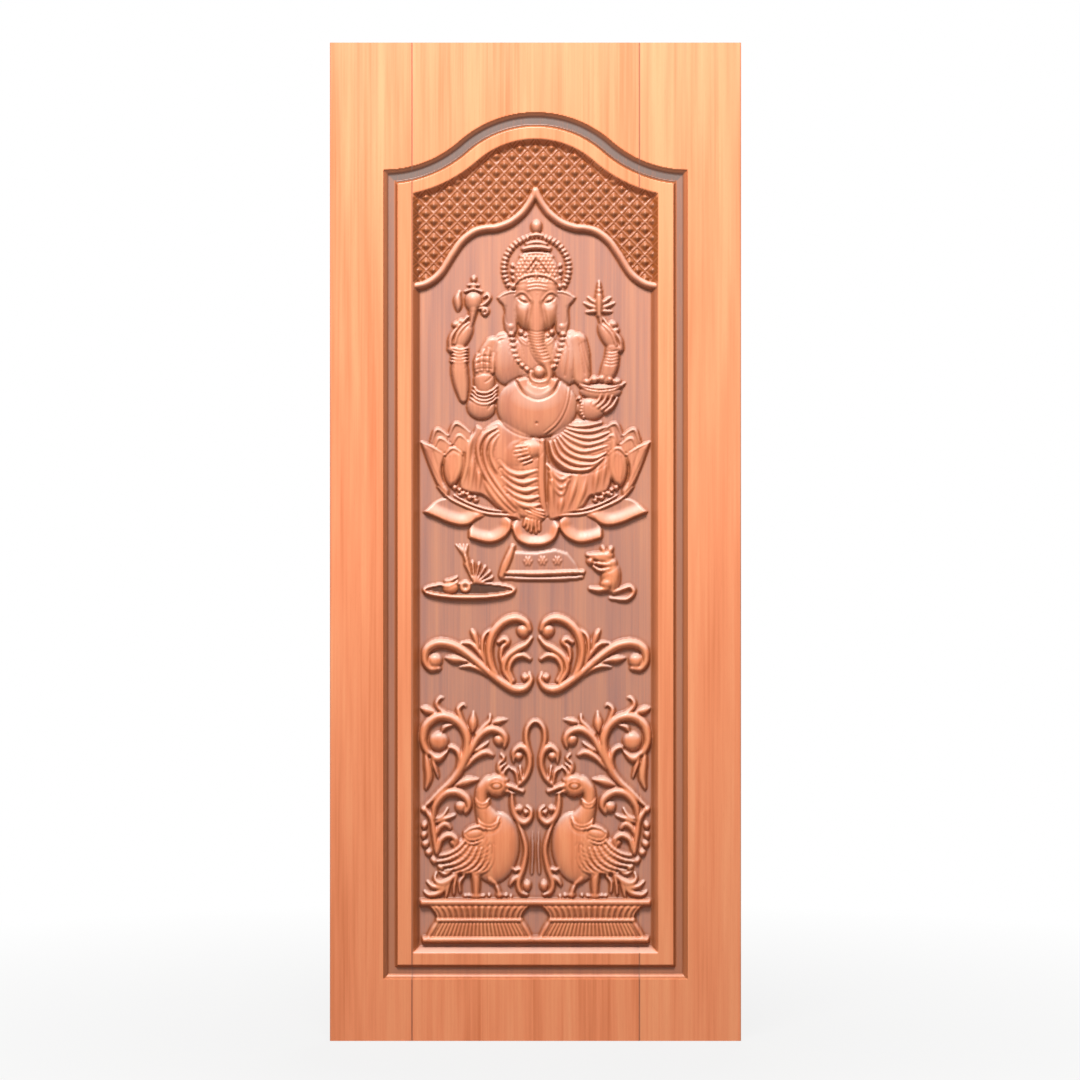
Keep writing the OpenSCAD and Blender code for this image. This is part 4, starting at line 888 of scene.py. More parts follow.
CENTRE_STRANDS = (
    ((-9, 596, 4, 9), (-19, 628, 5.6, 11), (-18, 653, 5.6, 11), (-9, 668, 5.2, 11), (0, 672, 4.8, 11)),
    ((-46, 586, 3, 8), (-46, 606, 5.6, 11), (-31, 618, 7, 12), (-16, 606, 7, 12), (-12, 580, 6.4, 12),
     (-21, 553, 5.6, 11), (-38, 536, 4, 8)),
    ((-50, 518, 4, 9), (-48, 490, 6.4, 11), (-39, 467, 7.4, 12), (-24, 458, 7.4, 12), (-11, 468, 6.4, 11.4),
     (-10, 484, 5, 10), (-18, 491, 3.4, 8)),
    ((-40, 462, 4, 9), (-27, 432, 5.4, 11), (-20, 400, 6, 11.4), (-26, 362, 6.4, 11.4), (-36, 334, 6.6, 11.4),
     (-32, 313, 5.6, 10.6), (-18, 306, 4, 8)),
    ((-60, 548, 4, 8), (-70, 558, 5.4, 9), (-78, 571, 5, 9), (-77, 582, 4, 9)),
    ((-79, 572, 3.2, 8), (-76, 583, 3.6, 10.5), (-68, 590, 3.6, 11.4), (-67, 596, 3.2, 11.4),
     (-73, 601, 2.2, 9)),
    ((-71, 557, 3, 7), (-74, 568, 3.6, 10.5), (-70, 577, 3.4, 11.4), (-63, 581, 2.2, 9)),
    ((-64, 552, 3, 7), (-67, 562, 3.6, 10.5), (-63, 570, 3.4, 11.4), (-56, 575, 2.2, 9)),
    ((-37, 542, 4, 8), (-39, 556, 4.4, 10.5), (-43, 567, 4.4, 11.4), (-53, 572, 2.6, 8)),
    ((-29, 546, 3, 8), (-31, 562, 3.6, 9.5), (-33, 576, 2.4, 7)),
    ((-32, 362, 3, 8), (-42, 358, 5, 10), (-49, 362, 3, 8)),
    ((-36, 346, 4, 9), (-46, 338, 6, 10), (-54, 326, 3, 8)),
    ((-7, 446, 1.4, 1.5), (-6, 400, 3.4, 6), (-8, 350, 3, 5)),
)


def carve_vines(wood):
    """Vine on each side of the middle: rounded stems that roll up round bosses, with leaves and buds."""
    wood.strands(VINE_LEAVES, both=True)
    wood.domes([(-204, 629, 21, 21, 12), (-76, 632, 12.5, 12.5, 11.6), (-157, 491, 13, 13, 11.6),
                (-172, 416, 9, 9, 10.6)], both=True)
    wood.strands(VINES, both=True, moat=3, depth=1.8)
    wood.rib([(-222, 622), (-206, 611), (-186, 616)], 2, -1.6, both=True)
    wood.rib([(-220, 618), (-205, 606), (-188, 611)], 2, 1.4, both=True)
    wood.ribs([
        [(-224, 503), (-172, 549), (-150, 588), (-141, 626)],
        [(-214, 470), (-209, 492), (-191, 514), (-168, 519)],
        [(-236, 640), (-228, 662), (-205, 677), (-178, 674), (-156, 655)],
    ], 1.6, -1.2, both=True)
    wood.strands(CENTRE_STRANDS, both=True)
    wood.domes([(-36, 598, 9.5, 9.5, 11), (-18, 325, 9.5, 12, 11), (-20, 480, 6, 6, 9.6),
                (-235, 486, 7.5, 8, 11, 20), (-34, 487, 9, 8, 9.6)], both=True)
    wood.domes([(-234, 452, 7, 9, 10.6, -20), (-235, 432, 7, 9, 10.6, -20), (-232, 413, 8, 9, 10.6, -30),
                (-225, 395, 8, 8, 10.4, -40), (-214, 378, 9, 7, 10, -50), (-200, 364, 9, 6, 10, -40)],
               both=True)


GOOSE_FEATHERS = (
    ((-149, 420, 3.5, 12.5), (-162, 405, 5, 13), (-182, 393, 5, 12), (-203, 388, 3, 8)),
    ((-143, 411, 3.5, 13), (-160, 393, 5, 13.4), (-184, 381, 5, 12), (-208, 376, 3, 8)),
    ((-134, 407, 3.5, 13.4), (-148, 386, 5, 13.8), (-170, 372, 5, 12.6), (-204, 366, 3, 8)),
    ((-124, 405, 3.4, 13.6), (-136, 381, 4.8, 14), (-158, 365, 5, 13), (-190, 357, 3, 8)),
    ((-114, 405, 3.4, 14), (-124, 378, 4.6, 14.2), (-144, 360, 4.8, 13.4), (-174, 352, 3, 8.4)),
    ((-104, 407, 3.4, 14), (-112, 377, 4.6, 14.4), (-129, 358, 4.6, 13.8), (-154, 350, 3, 9)),
    ((-95, 410, 3.2, 14.2), (-99, 380, 4.4, 14.4), (-113, 359, 4.4, 14), (-134, 349, 3, 10)),
    ((-88, 412, 3, 14.4), (-89, 384, 4, 14.4), (-99, 362, 4, 14), (-118, 350, 3, 11)),
)
GOOSE_TAIL = (
    ((-164, 352, 4, 9), (-186, 334, 9, 12), (-202, 330, 8, 11.6), (-212, 340, 4.4, 10), (-209, 352, 2, 7)),
    ((-176, 340, 4, 9), (-196, 322, 6, 11), (-216, 324, 6, 10.6), (-228, 333, 3, 7)),
    ((-180, 332, 4, 9), (-200, 312, 6.6, 11), (-222, 306, 6, 10.6), (-234, 312, 3, 7)),
    ((-176, 346, 4, 9), (-184, 322, 5, 10), (-189, 302, 3.6, 8)),
    ((-166, 346, 4, 9), (-171, 326, 4.6, 10), (-172, 308, 3.4, 8)),
    ((-150, 346, 3.6, 9), (-160, 332, 4.4, 10), (-159, 312, 3.4, 8)),
    ((-178, 356, 3, 8), (-190, 350, 4.4, 9), (-204, 356, 2.6, 7)),
)


def carve_geese(wood):
    """Goose with its head turned back, a wing of long feathers and a curled tail."""
    wood.strands(GOOSE_TAIL, both=True)
    wood.strands([
        [(-126, 352, 12, 12), (-125, 330, 9, 12), (-125, 312, 7.4, 11.4), (-125, 302, 6.6, 11)],
        [(-96, 340, 8, 10.6), (-84, 328, 5, 10), (-78, 314, 5, 10), (-76, 304, 6, 10)],
    ], both=True)
    wood.domes([(-125, 303, 13, 6, 11), (-76, 305, 9, 6, 10), (-148, 303, 5, 4, 8), (-140, 304, 4, 4, 8),
                (-110, 303, 5, 4, 8), (-98, 304, 4, 4, 8), (-62, 304, 5, 4.6, 8), (-52, 302, 4, 4, 8)],
               both=True)
    wood.dome(-84, 405, 51, 77, 14.4, -7, 0.5, both=True, moat=4, depth=2.5)
    head = (-82, 536, 26, 24, 13.6, -10, 0.42)
    wood.dome(*head, both=True)
    wood.strand([(-98, 462, 25, 13.4), (-109, 484, 18.5, 12.8), (-114, 506, 14.4, 12.4),
                 (-111, 528, 14.4, 12.6), (-99, 541, 16, 12.8)], both=True, moat=3)
    wood.dome(*head, both=True, moat=0, soft=3)
    wood.strands([
        [(-64, 535, 8, 12), (-51, 534, 6.4, 12.4), (-38, 528, 5, 11.4), (-27, 524, 4.4, 10)],
        [(-64, 526, 6, 11), (-52, 522, 3.6, 10), (-42, 519, 2.4, 7)],
    ], both=True, moat=2.4, depth=2)
    wood.dome(-82, 536, 9, 5, 15.8, 4, both=True, moat=3, depth=2.6)
    # Painted shade round the eye's edge and a painted highlight on the eyeball
    place, x, z = wood.window(-104, 104, 520, 556)
    q = np.hypot((np.abs(x) - 82) / 10, (z - 536) / 5.8)
    wood.shade[place] += 0.5 * np.exp(-((q - 1.1) / 0.26) ** 2) - 0.35 * np.clip(1.6 - 2 * q, 0, 1)
    wood.rib([(-97, 535), (-92, 544), (-81, 548), (-70, 543)], 2.4, -1.8, both=True)
    wood.rib([(-69, 520), (-61, 528), (-63, 541)], 2.6, -2.6, both=True)
    for drop in (0, -6.5):
        wood.strand([(-127, 508 + drop, 2.4, 10), (-120, 500 + drop, 3, 14.4), (-112, 497.5 + drop, 3, 15.4),
                     (-104, 500 + drop, 3, 14.4), (-98, 507 + drop, 2.4, 10)], both=True, moat=2, depth=1.8)
        wood.strand([(-122, 466 + drop, 2.4, 11), (-114, 456 + drop, 3, 15), (-98, 451.5 + drop, 3, 16),
                     (-84, 456 + drop, 3, 16), (-77, 468 + drop, 2.4, 14)], both=True, moat=2, depth=1.8)
    wood.dome(-136, 390, 46, 40, 11.2, 24, 0.36, both=True)
    wood.strands(GOOSE_FEATHERS, both=True, moat=2, depth=2)
    place, x, z = wood.window(-200, 200, 350, 424)
    barb = np.sin(2 * np.pi * np.hypot(np.abs(x) - 129, z - 434) / 8)
    wood.h[place] += 0.8 * barb * (np.abs(x) > 96) * (wood.h[place] > 9)
    wood.dome(-129, 434, 25, 15, 14, 14, 0.42, both=True)
    for drop in (0, -7):
        wood.strand([(-151, 432 + drop, 2, 12), (-142, 423 + drop, 2.8, 14.6), (-128, 422 + drop, 3, 15.6),
                     (-112, 428 + drop, 2.4, 13.6)], both=True, moat=2, depth=1.8)
    wood.strand([(-151, 436, 2, 12), (-138, 446, 3.4, 15), (-120, 450, 4, 16), (-108, 444, 2.6, 14)],
                both=True, moat=2)


def carve_pedestals(wood):
    """Pedestal under each goose: slab, fluted hollow, ring, flared skirt and base slab."""
    wood.plate([(-244, 283), (6, 283), (6, 297), (-244, 297)], 13.5, 3.4, both=True)
    place, x, z = wood.window(-232, 232, 256, 283.5)
    up = np.clip((z - 256) / 27, 0, 1)
    half = 89 + 18 * up ** 2
    away = np.abs(np.abs(x) - 119)
    wave = np.abs(np.sin(np.pi * (np.abs(x) - 119) / (half * 2 / 15)))
    flute = (2.5 + 6 * up) + 5.4 * wave ** 0.7
    wood.h[place] = np.where(away < half, np.maximum(wood.h[place], flute), wood.h[place])
    wood.plate([(-211, 248), (-27, 248), (-27, 257), (-211, 257)], 12, 4, both=True)
    wood.plate([(-226, 217), (-10, 217), (-29, 249), (-208, 249)], 7.5, 3, both=True)
    wood.strands([
        [(-206, 250, 4, 9), (-214, 236, 6, 11), (-226, 217, 4, 10)],
        [(-30, 250, 4, 9), (-22, 236, 6, 11), (-11, 217, 4, 10)],
    ], both=True, moat=2)
    place, x, z = wood.window(-224, 224, 219, 248)
    across = (np.abs(x) - 118) / np.interp(z, [217, 249], [106, 86])
    fringe = np.abs(np.sin(12 * np.pi * across))
    skirt = np.where(np.abs(across) < 0.93, 5.5 + 4.4 * fringe ** 0.7, 0)
    wood.h[place] = np.maximum(wood.h[place] * (np.abs(across) > 0.93), skirt)
    # Painted shade in the grooves between the skirt's flutes
    wood.shade[place] += 0.35 * (np.abs(across) < 0.93) * (1 - fringe)
    wood.beads([(-200, 222), (-38, 222)], 9, 3.4, 2.6, 9.4, both=True, moat=1.4)
    wood.plate([(-240, 205), (3, 205), (3, 218), (-240, 218)], 13.5, 3.4, both=True)


MOTIFS = (
    carve_lattice, carve_bracket, carve_halo, carve_scrolls, carve_vines, carve_geese, carve_pedestals,
    carve_lotus, carve_legs, carve_chest, carve_belly, carve_arms, carve_head, carve_tray, carve_mat,
    carve_mouse,
)


# The leaf. Heights where its rows get closer and wider again, in mm

LOTUS_FOOT = 1040
BRACKET_TOP = 1740


def spaced(*stretches):
    """Stations along one way: each stretch is start, end and wished step, with shared ends once."""
    runs = []
    for start, end, step in stretches:
        count = max(1, round((end - start) / step))
        runs.append(start + (end - start) * np.arange(count) / count)
    return np.concatenate(runs + [[stretches[-1][1]]])


def face_rows(sizes):
    """Heights of the rows: close together on mouldings and figure, wide on the plain borders."""
    foot = sizes.bottom_border
    crown = LEAF_H - sizes.crown_border
    return spaced(
        (0, foot - 4, 14), (foot - 4, foot + 32, 1.2), (foot + 32, foot + 54, 2.75),
        (foot + 54, foot + 70, 1.5), (foot + 70, LOTUS_FOOT, 2.2), (LOTUS_FOOT, BRACKET_TOP, 1.6),
        (BRACKET_TOP, crown + 7, 2.0), (crown + 7, LEAF_H, 14),
    )


def face_columns(sizes):
    """Stations across each board, from joint to joint, with close ones beside the two open joints."""
    edge = LEAF_W / 2 - sizes.arris
    opening = sizes.opening_w / 2
    band = opening - sizes.groove_w - 3
    field = opening - sizes.groove_w - sizes.band_side_w
    low, high = OUTER_JOINTS
    seam = sizes.seam_v
    left = spaced(
        (-edge, -opening - 2, PLAIN_STEP), (-opening - 2, -band, MOULDED_STEP),
        (-band, low - seam, CARVED_STEP), (low - seam, low, seam),
    )
    right = spaced(
        (high, high + seam, seam), (high + seam, field, CARVED_STEP), (field, band, 1.8),
        (band, opening + 2, MOULDED_STEP), (opening + 2, edge, PLAIN_STEP),
    )
    panels = []
    for n in range(3):
        start, end = JOINTS[n], JOINTS[n + 1]
        stretches = [(start, end, CARVED_STEP)]
        if n == 0:
            stretches = [(start, start + seam, seam), (start + seam, end, CARVED_STEP)]
        if n == 2:
            stretches = [(start, end - seam, CARVED_STEP), (end - seam, end, seam)]
        panels.append(spaced(*stretches))
    return [left, *panels, right]


def opening_inset(x, z, sizes):
    """Distances inward from the opening's edge at its sides, its foot and its ogee arch.

    The arch is one arc over the crown and one swung the other way over each shoulder, of one radius;
    the line between their centres parts them.
    """
    half = sizes.opening_w / 2
    radius = (half ** 2 + sizes.arch_rise ** 2) / (4 * sizes.arch_rise)
    crown = LEAF_H - sizes.crown_border
    away = np.abs(x)
    low_z = crown - radius
    high_x, high_z = half, crown - sizes.arch_rise + radius
    over_crown = high_x * (z - low_z) - (high_z - low_z) * away > 0
    crown_arc = radius - np.hypot(away, z - low_z)
    shoulder_arc = np.hypot(away - high_x, z - high_z) - radius
    arch = np.where(over_crown, crown_arc, shoulder_arc)
    arch = np.where(z < low_z, np.inf, arch)
    return half - away, z - sizes.bottom_border, arch


def carved_face(sizes, columns, rows):
    """Depths of the whole face below its border, with all that its tones are worked out from.

    The moulding is a profile over the inset from the opening, the wall slopes to the field, and the
    relief stands on the field; where two of them meet, the higher one shows.
    """
    x, z = np.meshgrid(columns, rows)
    side, foot, arch = opening_inset(x, z, sizes)
    inset = np.minimum(np.minimum(side, foot), arch)
    deep, bead = sizes.groove_depth, sizes.bead_w
    slope = sizes.groove_w - sizes.groove_slope_w
    # A small step, the bead's round in shares of its width and the groove's depth, the floor, the slope
    profile_at = [0, 0.4, bead * 0.25, bead * 0.5, bead * 0.75, bead * 0.92, bead, slope, sizes.groove_w]
    profile_down = [0, 0.25 * deep, 0.29 * deep, 0.4 * deep, 0.58 * deep, 0.8 * deep, deep, deep, 0]
    groove = np.interp(inset, profile_at, profile_down)
    past_side = side - sizes.groove_w - sizes.band_side_w
    past_end = np.minimum(foot, arch) - sizes.groove_w - sizes.band_end_w
    past = np.minimum(past_side, past_end)
    wall = sizes.field_depth * np.clip(past / sizes.wall_w, 0, 1)

    relief = Relief(columns, rows)
    for carve in MOTIFS:
        carve(relief)
    heights = np.minimum(blurred(relief.h, 1), sizes.field_depth - sizes.relief_guard)
    field = np.minimum(wall, sizes.field_depth - heights)
    depth = np.where(past > 0, field, groove)
    for joint in OUTER_JOINTS:
        depth = np.maximum(depth, sizes.seam_v - np.abs(x - joint))
    return SimpleNamespace(
        columns=columns, rows=rows, x=x, z=z, side=side, foot=foot, arch=arch, inset=inset, past=past,
        groove=groove, depth=depth, heights=heights, relief=relief,
    )


def face_tones(face, sizes):
    """Tones of the wood at each point of the face, and the points that are shaded round.

    The tones are painted shade above 0, in corners, on sides that face down, in the groove and on its
    bead, with darker lines along the open joints, and painted highlight below 0, on edges and sides that
    face up; how far the wood lies down in the field; the studs' stain, less where they face up and on
    the wall under the arch; and painted grey shadow on the groove's floor, with a grey tint along the
    open joints and on the upper relief.
    """
    depth, heights, relief, inset = face.depth, face.heights, face.relief, face.inset
    in_field = face.past > 0
    over_arch = face.arch < np.minimum(face.side, face.foot)
    on_left = (face.x < 0) & (face.side <= np.minimum(face.foot, face.arch))
    floor_end = sizes.groove_w - sizes.groove_slope_w - 2
    on_bead = (inset > 0) & (inset < sizes.bead_w)
    on_slope = (inset > floor_end) & (inset < sizes.groove_w)
    on_wall = in_field & (face.past < sizes.wall_w)

    # How far a point lies below the wood round it, wide and tight, how steep it is and how far it faces up
    wide = np.clip((depth - blurred(depth, 24)) / 6, 0, 1)
    tight = np.clip((depth - blurred(depth, 6)) / 2.4, -1, 1)
    up, across = np.gradient(blurred(depth, 1), face.rows, face.columns)
    tilt = np.hypot(up, across) + 1e-6
    facing_up = np.clip(up / tilt, -1, 1)
    steep = np.clip((tilt - 0.08) / 0.7, 0, 1)
    lit = np.clip((tilt - 0.04) / 0.7, 0, 1) * np.clip((facing_up - 0.15) / 0.8, 0, 1)

    # Painted grey shadow on the groove's floor: most at the arch, more up the sides, little at the foot
    up_sides = np.interp(face.z, [200, 1800], [0.15, 0.7])
    groove_shadow_share = np.where(over_arch, 1, np.where(face.foot < face.side, 0.2, up_sides))
    floor = ~in_field * np.clip(face.groove / sizes.groove_depth, 0, 1)
    grey_shadow_and_tint = groove_shadow_share * floor ** 3 * (inset < floor_end)

    # Painted shade: corners, sides that face down, the groove and its bead, less on the wall under the arch
    painted_shade = 0.8 * np.maximum(tight, 0) + 0.25 * wide + 0.6 * steep * np.clip(1 - 1.4 * facing_up, 0, 1)
    painted_shade += 0.5 * floor ** 0.6 * (1 - grey_shadow_and_tint)
    painted_shade += (0.36 + 0.5 * groove_shadow_share) * on_bead
    painted_shade *= np.where(over_arch & on_wall, 0.4, 1)
    # The relief's own painted shade, and painted highlight where it is below 0
    shade = np.where(in_field, relief.shade, 0)
    painted_shade = np.clip(painted_shade + shade, 0, 1)

    # Painted highlight: edges and sides that face up, less on the studs, the pedestals and the arch's groove
    painted_highlight = np.clip(0.8 * lit + 0.35 * np.maximum(-tight, 0), 0, 1)
    painted_highlight *= 1 - 0.8 * np.clip(6 * relief.stain, 0, 1)
    painted_highlight *= np.interp(face.z, [186, 196, 298, 310], [1, 0.5, 0.5, 1])
    painted_highlight *= np.where(over_arch & ~in_field, 0.15, 1)

    # Both together, deepest painted shade on the arch's bead and slope and on what faces away at the left
    hollow = painted_shade * (1 - painted_highlight) - painted_highlight * (1 - painted_shade) + shade
    hollow += over_arch * (0.7 * on_bead + on_slope)
    hollow += 0.4 * (on_left & (on_bead | on_wall & (heights < 4)))
    for joint in OUTER_JOINTS:
        line = 0.42 * np.clip(1.6 - np.abs(face.x - joint), 0, 1)
        hollow = np.where(in_field, hollow, np.maximum(hollow, line))
        grey_shadow_and_tint = np.where(in_field, grey_shadow_and_tint, np.maximum(grey_shadow_and_tint, 1.2 * line))
    # In the field, a thin grey tint on the raised relief, from nothing at z 1200 to full at z 1300
    film = 0.12 * np.clip((heights - 2) / 2, 0, 1) * np.interp(face.z, [1200, 1300], [0, 1])
    grey_shadow_and_tint = np.where(in_field, film, grey_shadow_and_tint)

    # Depth as a share of the field's, less on high relief and on studs, and never none up on the figure
    sunk = np.clip(blurred(depth, 2) / sizes.field_depth, 0, 1)
    least = np.interp(face.z, [900, 1300, 1600], [0.05, 0.38, 0.48])
    sunk *= np.where(in_field, 1 - 0.4 * np.clip((heights - 5) / 4, 0, 1), 1.4)
    sunk = np.where(in_field, np.maximum(least, sunk + least * (1 - sunk)), np.clip(sunk, 0, 1))
    sunk *= np.where(in_field, 1 - 0.7 * relief.stain, 1)
    # The studs' stain; less of it where they face up is a painted highlight, and less on the wall under the
    # arch paints light into its shade
    stain = np.where(in_field, relief.stain * (1 - 0.38 * lit), 0) * np.where(over_arch & on_wall, 0.35, 1)
    soft = np.where(in_field, relief.stain < 0.1, over_arch & (inset > 0))
    return {"hollow": hollow, "sunk": sunk, "stain": stain, "grey_shadow_and_tint": grey_shadow_and_tint}, soft


def edge_chains(index, sizes):
    """Plan of a board's two sides, from the face to the back: chamfered edge, groove or tongue."""
    half_w, back = LEAF_W / 2, LEAF_T / 2
    middle = back - sizes.tongue_from_back
    gap_half = sizes.tongue_t / 2 + sizes.tongue_side_gap
    half = sizes.tongue_t / 2
    if index == 0:
        left = [(-half_w, sizes.arris - back), (-half_w, back - sizes.arris), (sizes.arris - half_w, back)]
    else:
        at = JOINTS[index - 1]
        deep = at + sizes.tongue_w + sizes.tongue_end_gap
        left = [(at, middle - gap_half), (deep, middle - gap_half), (deep, middle + gap_half),
                (at, middle + gap_half), (at, back)]
    if index == len(JOINTS):
        right = [(half_w, sizes.arris - back), (half_w, back - sizes.arris), (half_w - sizes.arris, back)]
    else:
        at = JOINTS[index]
        tip = at + sizes.tongue_w
        right = [(at, middle - half), (tip, middle - half), (tip, middle + half),
                 (at, middle + half), (at, back)]
    return left, right


def shade_edges(mesh, soft):
    """Arrises stay sharp; the carving, where both ends of an edge are soft, is shaded round.

    The edges along the face's two joints keep what their angle gives them.
    """
    high, wide = soft.shape
    mesh.shade_smooth()
    mesh.set_sharp_from_angle(angle=SHARP_ANGLE)
    ends = np.empty(2 * len(mesh.edges), np.int32)
    mesh.edges.foreach_get("vertices", ends)
    sharp = np.empty(len(mesh.edges), bool)
    mesh.edges.foreach_get("use_edge_sharp", sharp)
    round_at = np.zeros(len(mesh.vertices), bool)
    round_at[:soft.size] = soft.ravel()
    column = np.full(len(mesh.vertices), -1)
    column[:soft.size] = np.tile(np.arange(wide), high)
    first, last = column[ends].reshape(-1, 2).T
    rim = (first == last) & ((first == 0) | (first == wide - 1))
    sharp &= rim | ~round_at[ends].reshape(-1, 2).all(1)
    mesh.edges.foreach_set("use_edge_sharp", sharp)


def board_mesh(name, columns, rows, depth, chains, values, soft):
    """One closed board: the carved grid in front, and the plan of its sides carried up to both ends."""
    wide, high = columns.size, rows.size
    x, z = np.meshgrid(columns, rows)
    front = np.stack([x, depth - LEAF_T / 2, z], -1).reshape(-1, 3)
    left, right = chains
    ring = np.array(right + left[::-1])
    count = len(ring)
    low = np.column_stack([ring, np.full(count, rows[0])])
    top = np.column_stack([ring, np.full(count, rows[-1])])
    points = np.vstack([front, low, top]) * MM

    grid = np.arange(wide * high).reshape(high, wide)
    quads = np.stack([grid[:-1, :-1], grid[:-1, 1:], grid[1:, 1:], grid[1:, :-1]], -1).reshape(-1, 4)
    low_at = wide * high + np.arange(count)
    top_at = low_at + count
    strips = np.stack([low_at[:-1], low_at[1:], top_at[1:], top_at[:-1]], -1)
    caps = [
        np.concatenate([[grid[0, -1], low_at[0], top_at[0]], grid[:0:-1, -1]]),
        np.concatenate([grid[:, 0], [top_at[-1], low_at[-1]]]),
        np.concatenate([grid[-1], top_at]),
        np.concatenate([low_at[::-1], grid[0, ::-1]]),
    ]
    corners = np.concatenate([quads.ravel(), strips.ravel(), *caps]).astype(np.int32)
    counts = np.concatenate([np.full(len(quads) + len(strips), 4), [len(cap) for cap in caps]])
    starts = np.concatenate([[0], np.cumsum(counts)[:-1]]).astype(np.int32)

    mesh = bpy.data.meshes.new(name)
    mesh.vertices.add(len(points))
    mesh.vertices.foreach_set("co", points.astype(np.float32).ravel())
    mesh.loops.add(len(corners))
    mesh.loops.foreach_set("vertex_index", corners)
    mesh.polygons.add(len(starts))
    mesh.polygons.foreach_set("loop_start", starts)
    mesh.update(calc_edges=True)
    if mesh.validate():
        raise RuntimeError(f"the mesh of {name} had faults")
    shade_edges(mesh, soft)
    for key, value in values.items():
        data = np.zeros(len(points), np.float32)
        data[:front.shape[0]] = value.ravel()
        mesh.attributes.new(key, "FLOAT", "POINT").data.foreach_set("value", data)
    return mesh


# Teak


def oiled_teak(index, look):
    """Solid teak, planed and carved, rubbed with oil.

    The eye gets long upright grain with a few darker streaks, short pores, a satin gloss on the cut
    edges, greyer wood down in the field, painted grey shadow in the groove, brown stain on the studs,
    painted shade in the tight corners and on sides that face down, and painted highlight on the edges
    and sides that face up.
    """
    material = bpy.data.materials.new(f"oiled_teak_{BOARDS[index]}")
    material.use_nodes = True
    tree = material.node_tree
    tree.nodes.clear()
    place = add_node(tree, "ShaderNodeTexCoord").outputs["Object"]

    # Noise drawn out along the board: its width across the grain and its length along it, in mm.
    # Real pores are under half a millimetre wide: drawn at twice that, so that they show
    fibres = []
    for wide_mm, long_mm, detail, shift in (
        (look.band_width, 520, 2, 0.0), (look.streak_width, 420, 3, 3.0), (1.1, 22, 1, 6.0),
    ):
        mapped = add_node(tree, "ShaderNodeMapping", {
            "Vector": place,
            "Location": (7.3 * index + shift, 2.1 * index, 4.7 * index),
            "Scale": (1 / (wide_mm * MM), 1 / (wide_mm * MM), 1 / (long_mm * MM)),
        }).outputs["Vector"]
        fibres.append(add_node(tree, "ShaderNodeTexNoise", {
            "Vector": mapped, "Scale": 1.0, "Detail": detail, "Roughness": 0.55,
        }).outputs["Fac"])
    bands, streaks, pores = fibres
    tone = add_node(tree, "ShaderNodeMath", {0: bands, 1: 0.62}, operation="MULTIPLY").outputs[0]
    tone = add_node(tree, "ShaderNodeMath", {
        0: streaks, 1: 0.38, 2: tone,
    }, operation="MULTIPLY_ADD").outputs[0]
    tone = add_node(tree, "ShaderNodeMath", {0: tone, 1: BOARD_TONES[index]}, operation="ADD").outputs[0]
    ramp = add_node(tree, "ShaderNodeValToRGB", {"Fac": tone})
    ramp.color_ramp.elements[0].position = 0.3
    ramp.color_ramp.elements[0].color = linear(look.dark_grain)
    ramp.color_ramp.elements[1].position = 0.7
    ramp.color_ramp.elements[1].color = linear(look.light_grain)
    middle = ramp.color_ramp.elements.new(0.5)
    middle.color = linear(look.wood)
    colour = ramp.outputs["Color"]

    sunk, hollow, stain, grey_shadow_and_tint = (
        add_node(tree, "ShaderNodeAttribute", attribute_name=key).outputs["Fac"]
        for key in ("sunk", "hollow", "stain", "grey_shadow_and_tint")
    )

    # Sunk wood: its own greyer tone with warmer streaks along the same grain
    streak = add_node(tree, "ShaderNodeMapRange", {
        "Value": tone, "From Min": 0.33, "From Max": 0.67, "To Min": 0.0, "To Max": 1.0,
    }).outputs["Result"]
    sunk_tone = add_node(tree, "ShaderNodeMix", {
        0: streak, 6: linear(look.field), 7: linear(look.field_streak),
    }, data_type="RGBA").outputs[2]
    down = add_node(tree, "ShaderNodeMapRange", {
        "Value": sunk, "From Min": 0.15, "From Max": 0.95, "To Min": 0.0, "To Max": look.field_mix,
    }, interpolation_type="SMOOTHSTEP").outputs["Result"]
    colour = add_node(tree, "ShaderNodeMix", {0: down, 6: colour, 7: sunk_tone}, data_type="RGBA").outputs[2]

    # Layers over it, in order: colour, the value it follows, where it starts and is full, and its strength
    # In order: stud stain, painted shade, deepest painted shade, painted highlight, painted grey shadow and
    # grey tint, pores
    for tint, value, start, end, strength in (
        (look.stud, stain, 0.0, 1.0, look.stud_stain),
        (look.corner, hollow, 0.04, 0.75, look.painted_shade_strength),
        (look.deep_shade_tint, hollow, 1.0, 2.0, 0.8),
        (look.edge, hollow, -0.05, -0.7, look.highlight_strength),
        (look.grey_shadow_and_tint, grey_shadow_and_tint, 0.0, 1.0, 1.0),
        (look.dark_grain, pores, 0.62, 0.72, 0.22),
    ):
        share = add_node(tree, "ShaderNodeMapRange", {
            "Value": value, "From Min": start, "From Max": end, "To Min": 0.0, "To Max": strength,
        }).outputs["Result"]
        colour = add_node(tree, "ShaderNodeMix", {
            0: share, 6: colour, 7: linear(tint),
        }, data_type="RGBA").outputs[2]

    gloss = add_node(tree, "ShaderNodeMapRange", {
        "Value": streaks, "From Min": 0.3, "From Max": 0.7,
        "To Min": look.roughness - 0.06, "To Max": look.roughness + 0.06,
    }).outputs["Result"]
    bump = add_node(tree, "ShaderNodeBump", {
        "Height": streaks, "Strength": 0.35, "Distance": 0.0004,
    }).outputs["Normal"]
    shader = add_node(tree, "ShaderNodeBsdfPrincipled", {
        "Base Color": colour, "Roughness": gloss, "IOR": 1.5, "Normal": bump, "Specular IOR Level": 0.4,
    }).outputs["BSDF"]
    add_node(tree, "ShaderNodeOutputMaterial", {"Surface": shader})
    return material


# Studio

WHITE = (1, 1, 1, 1)


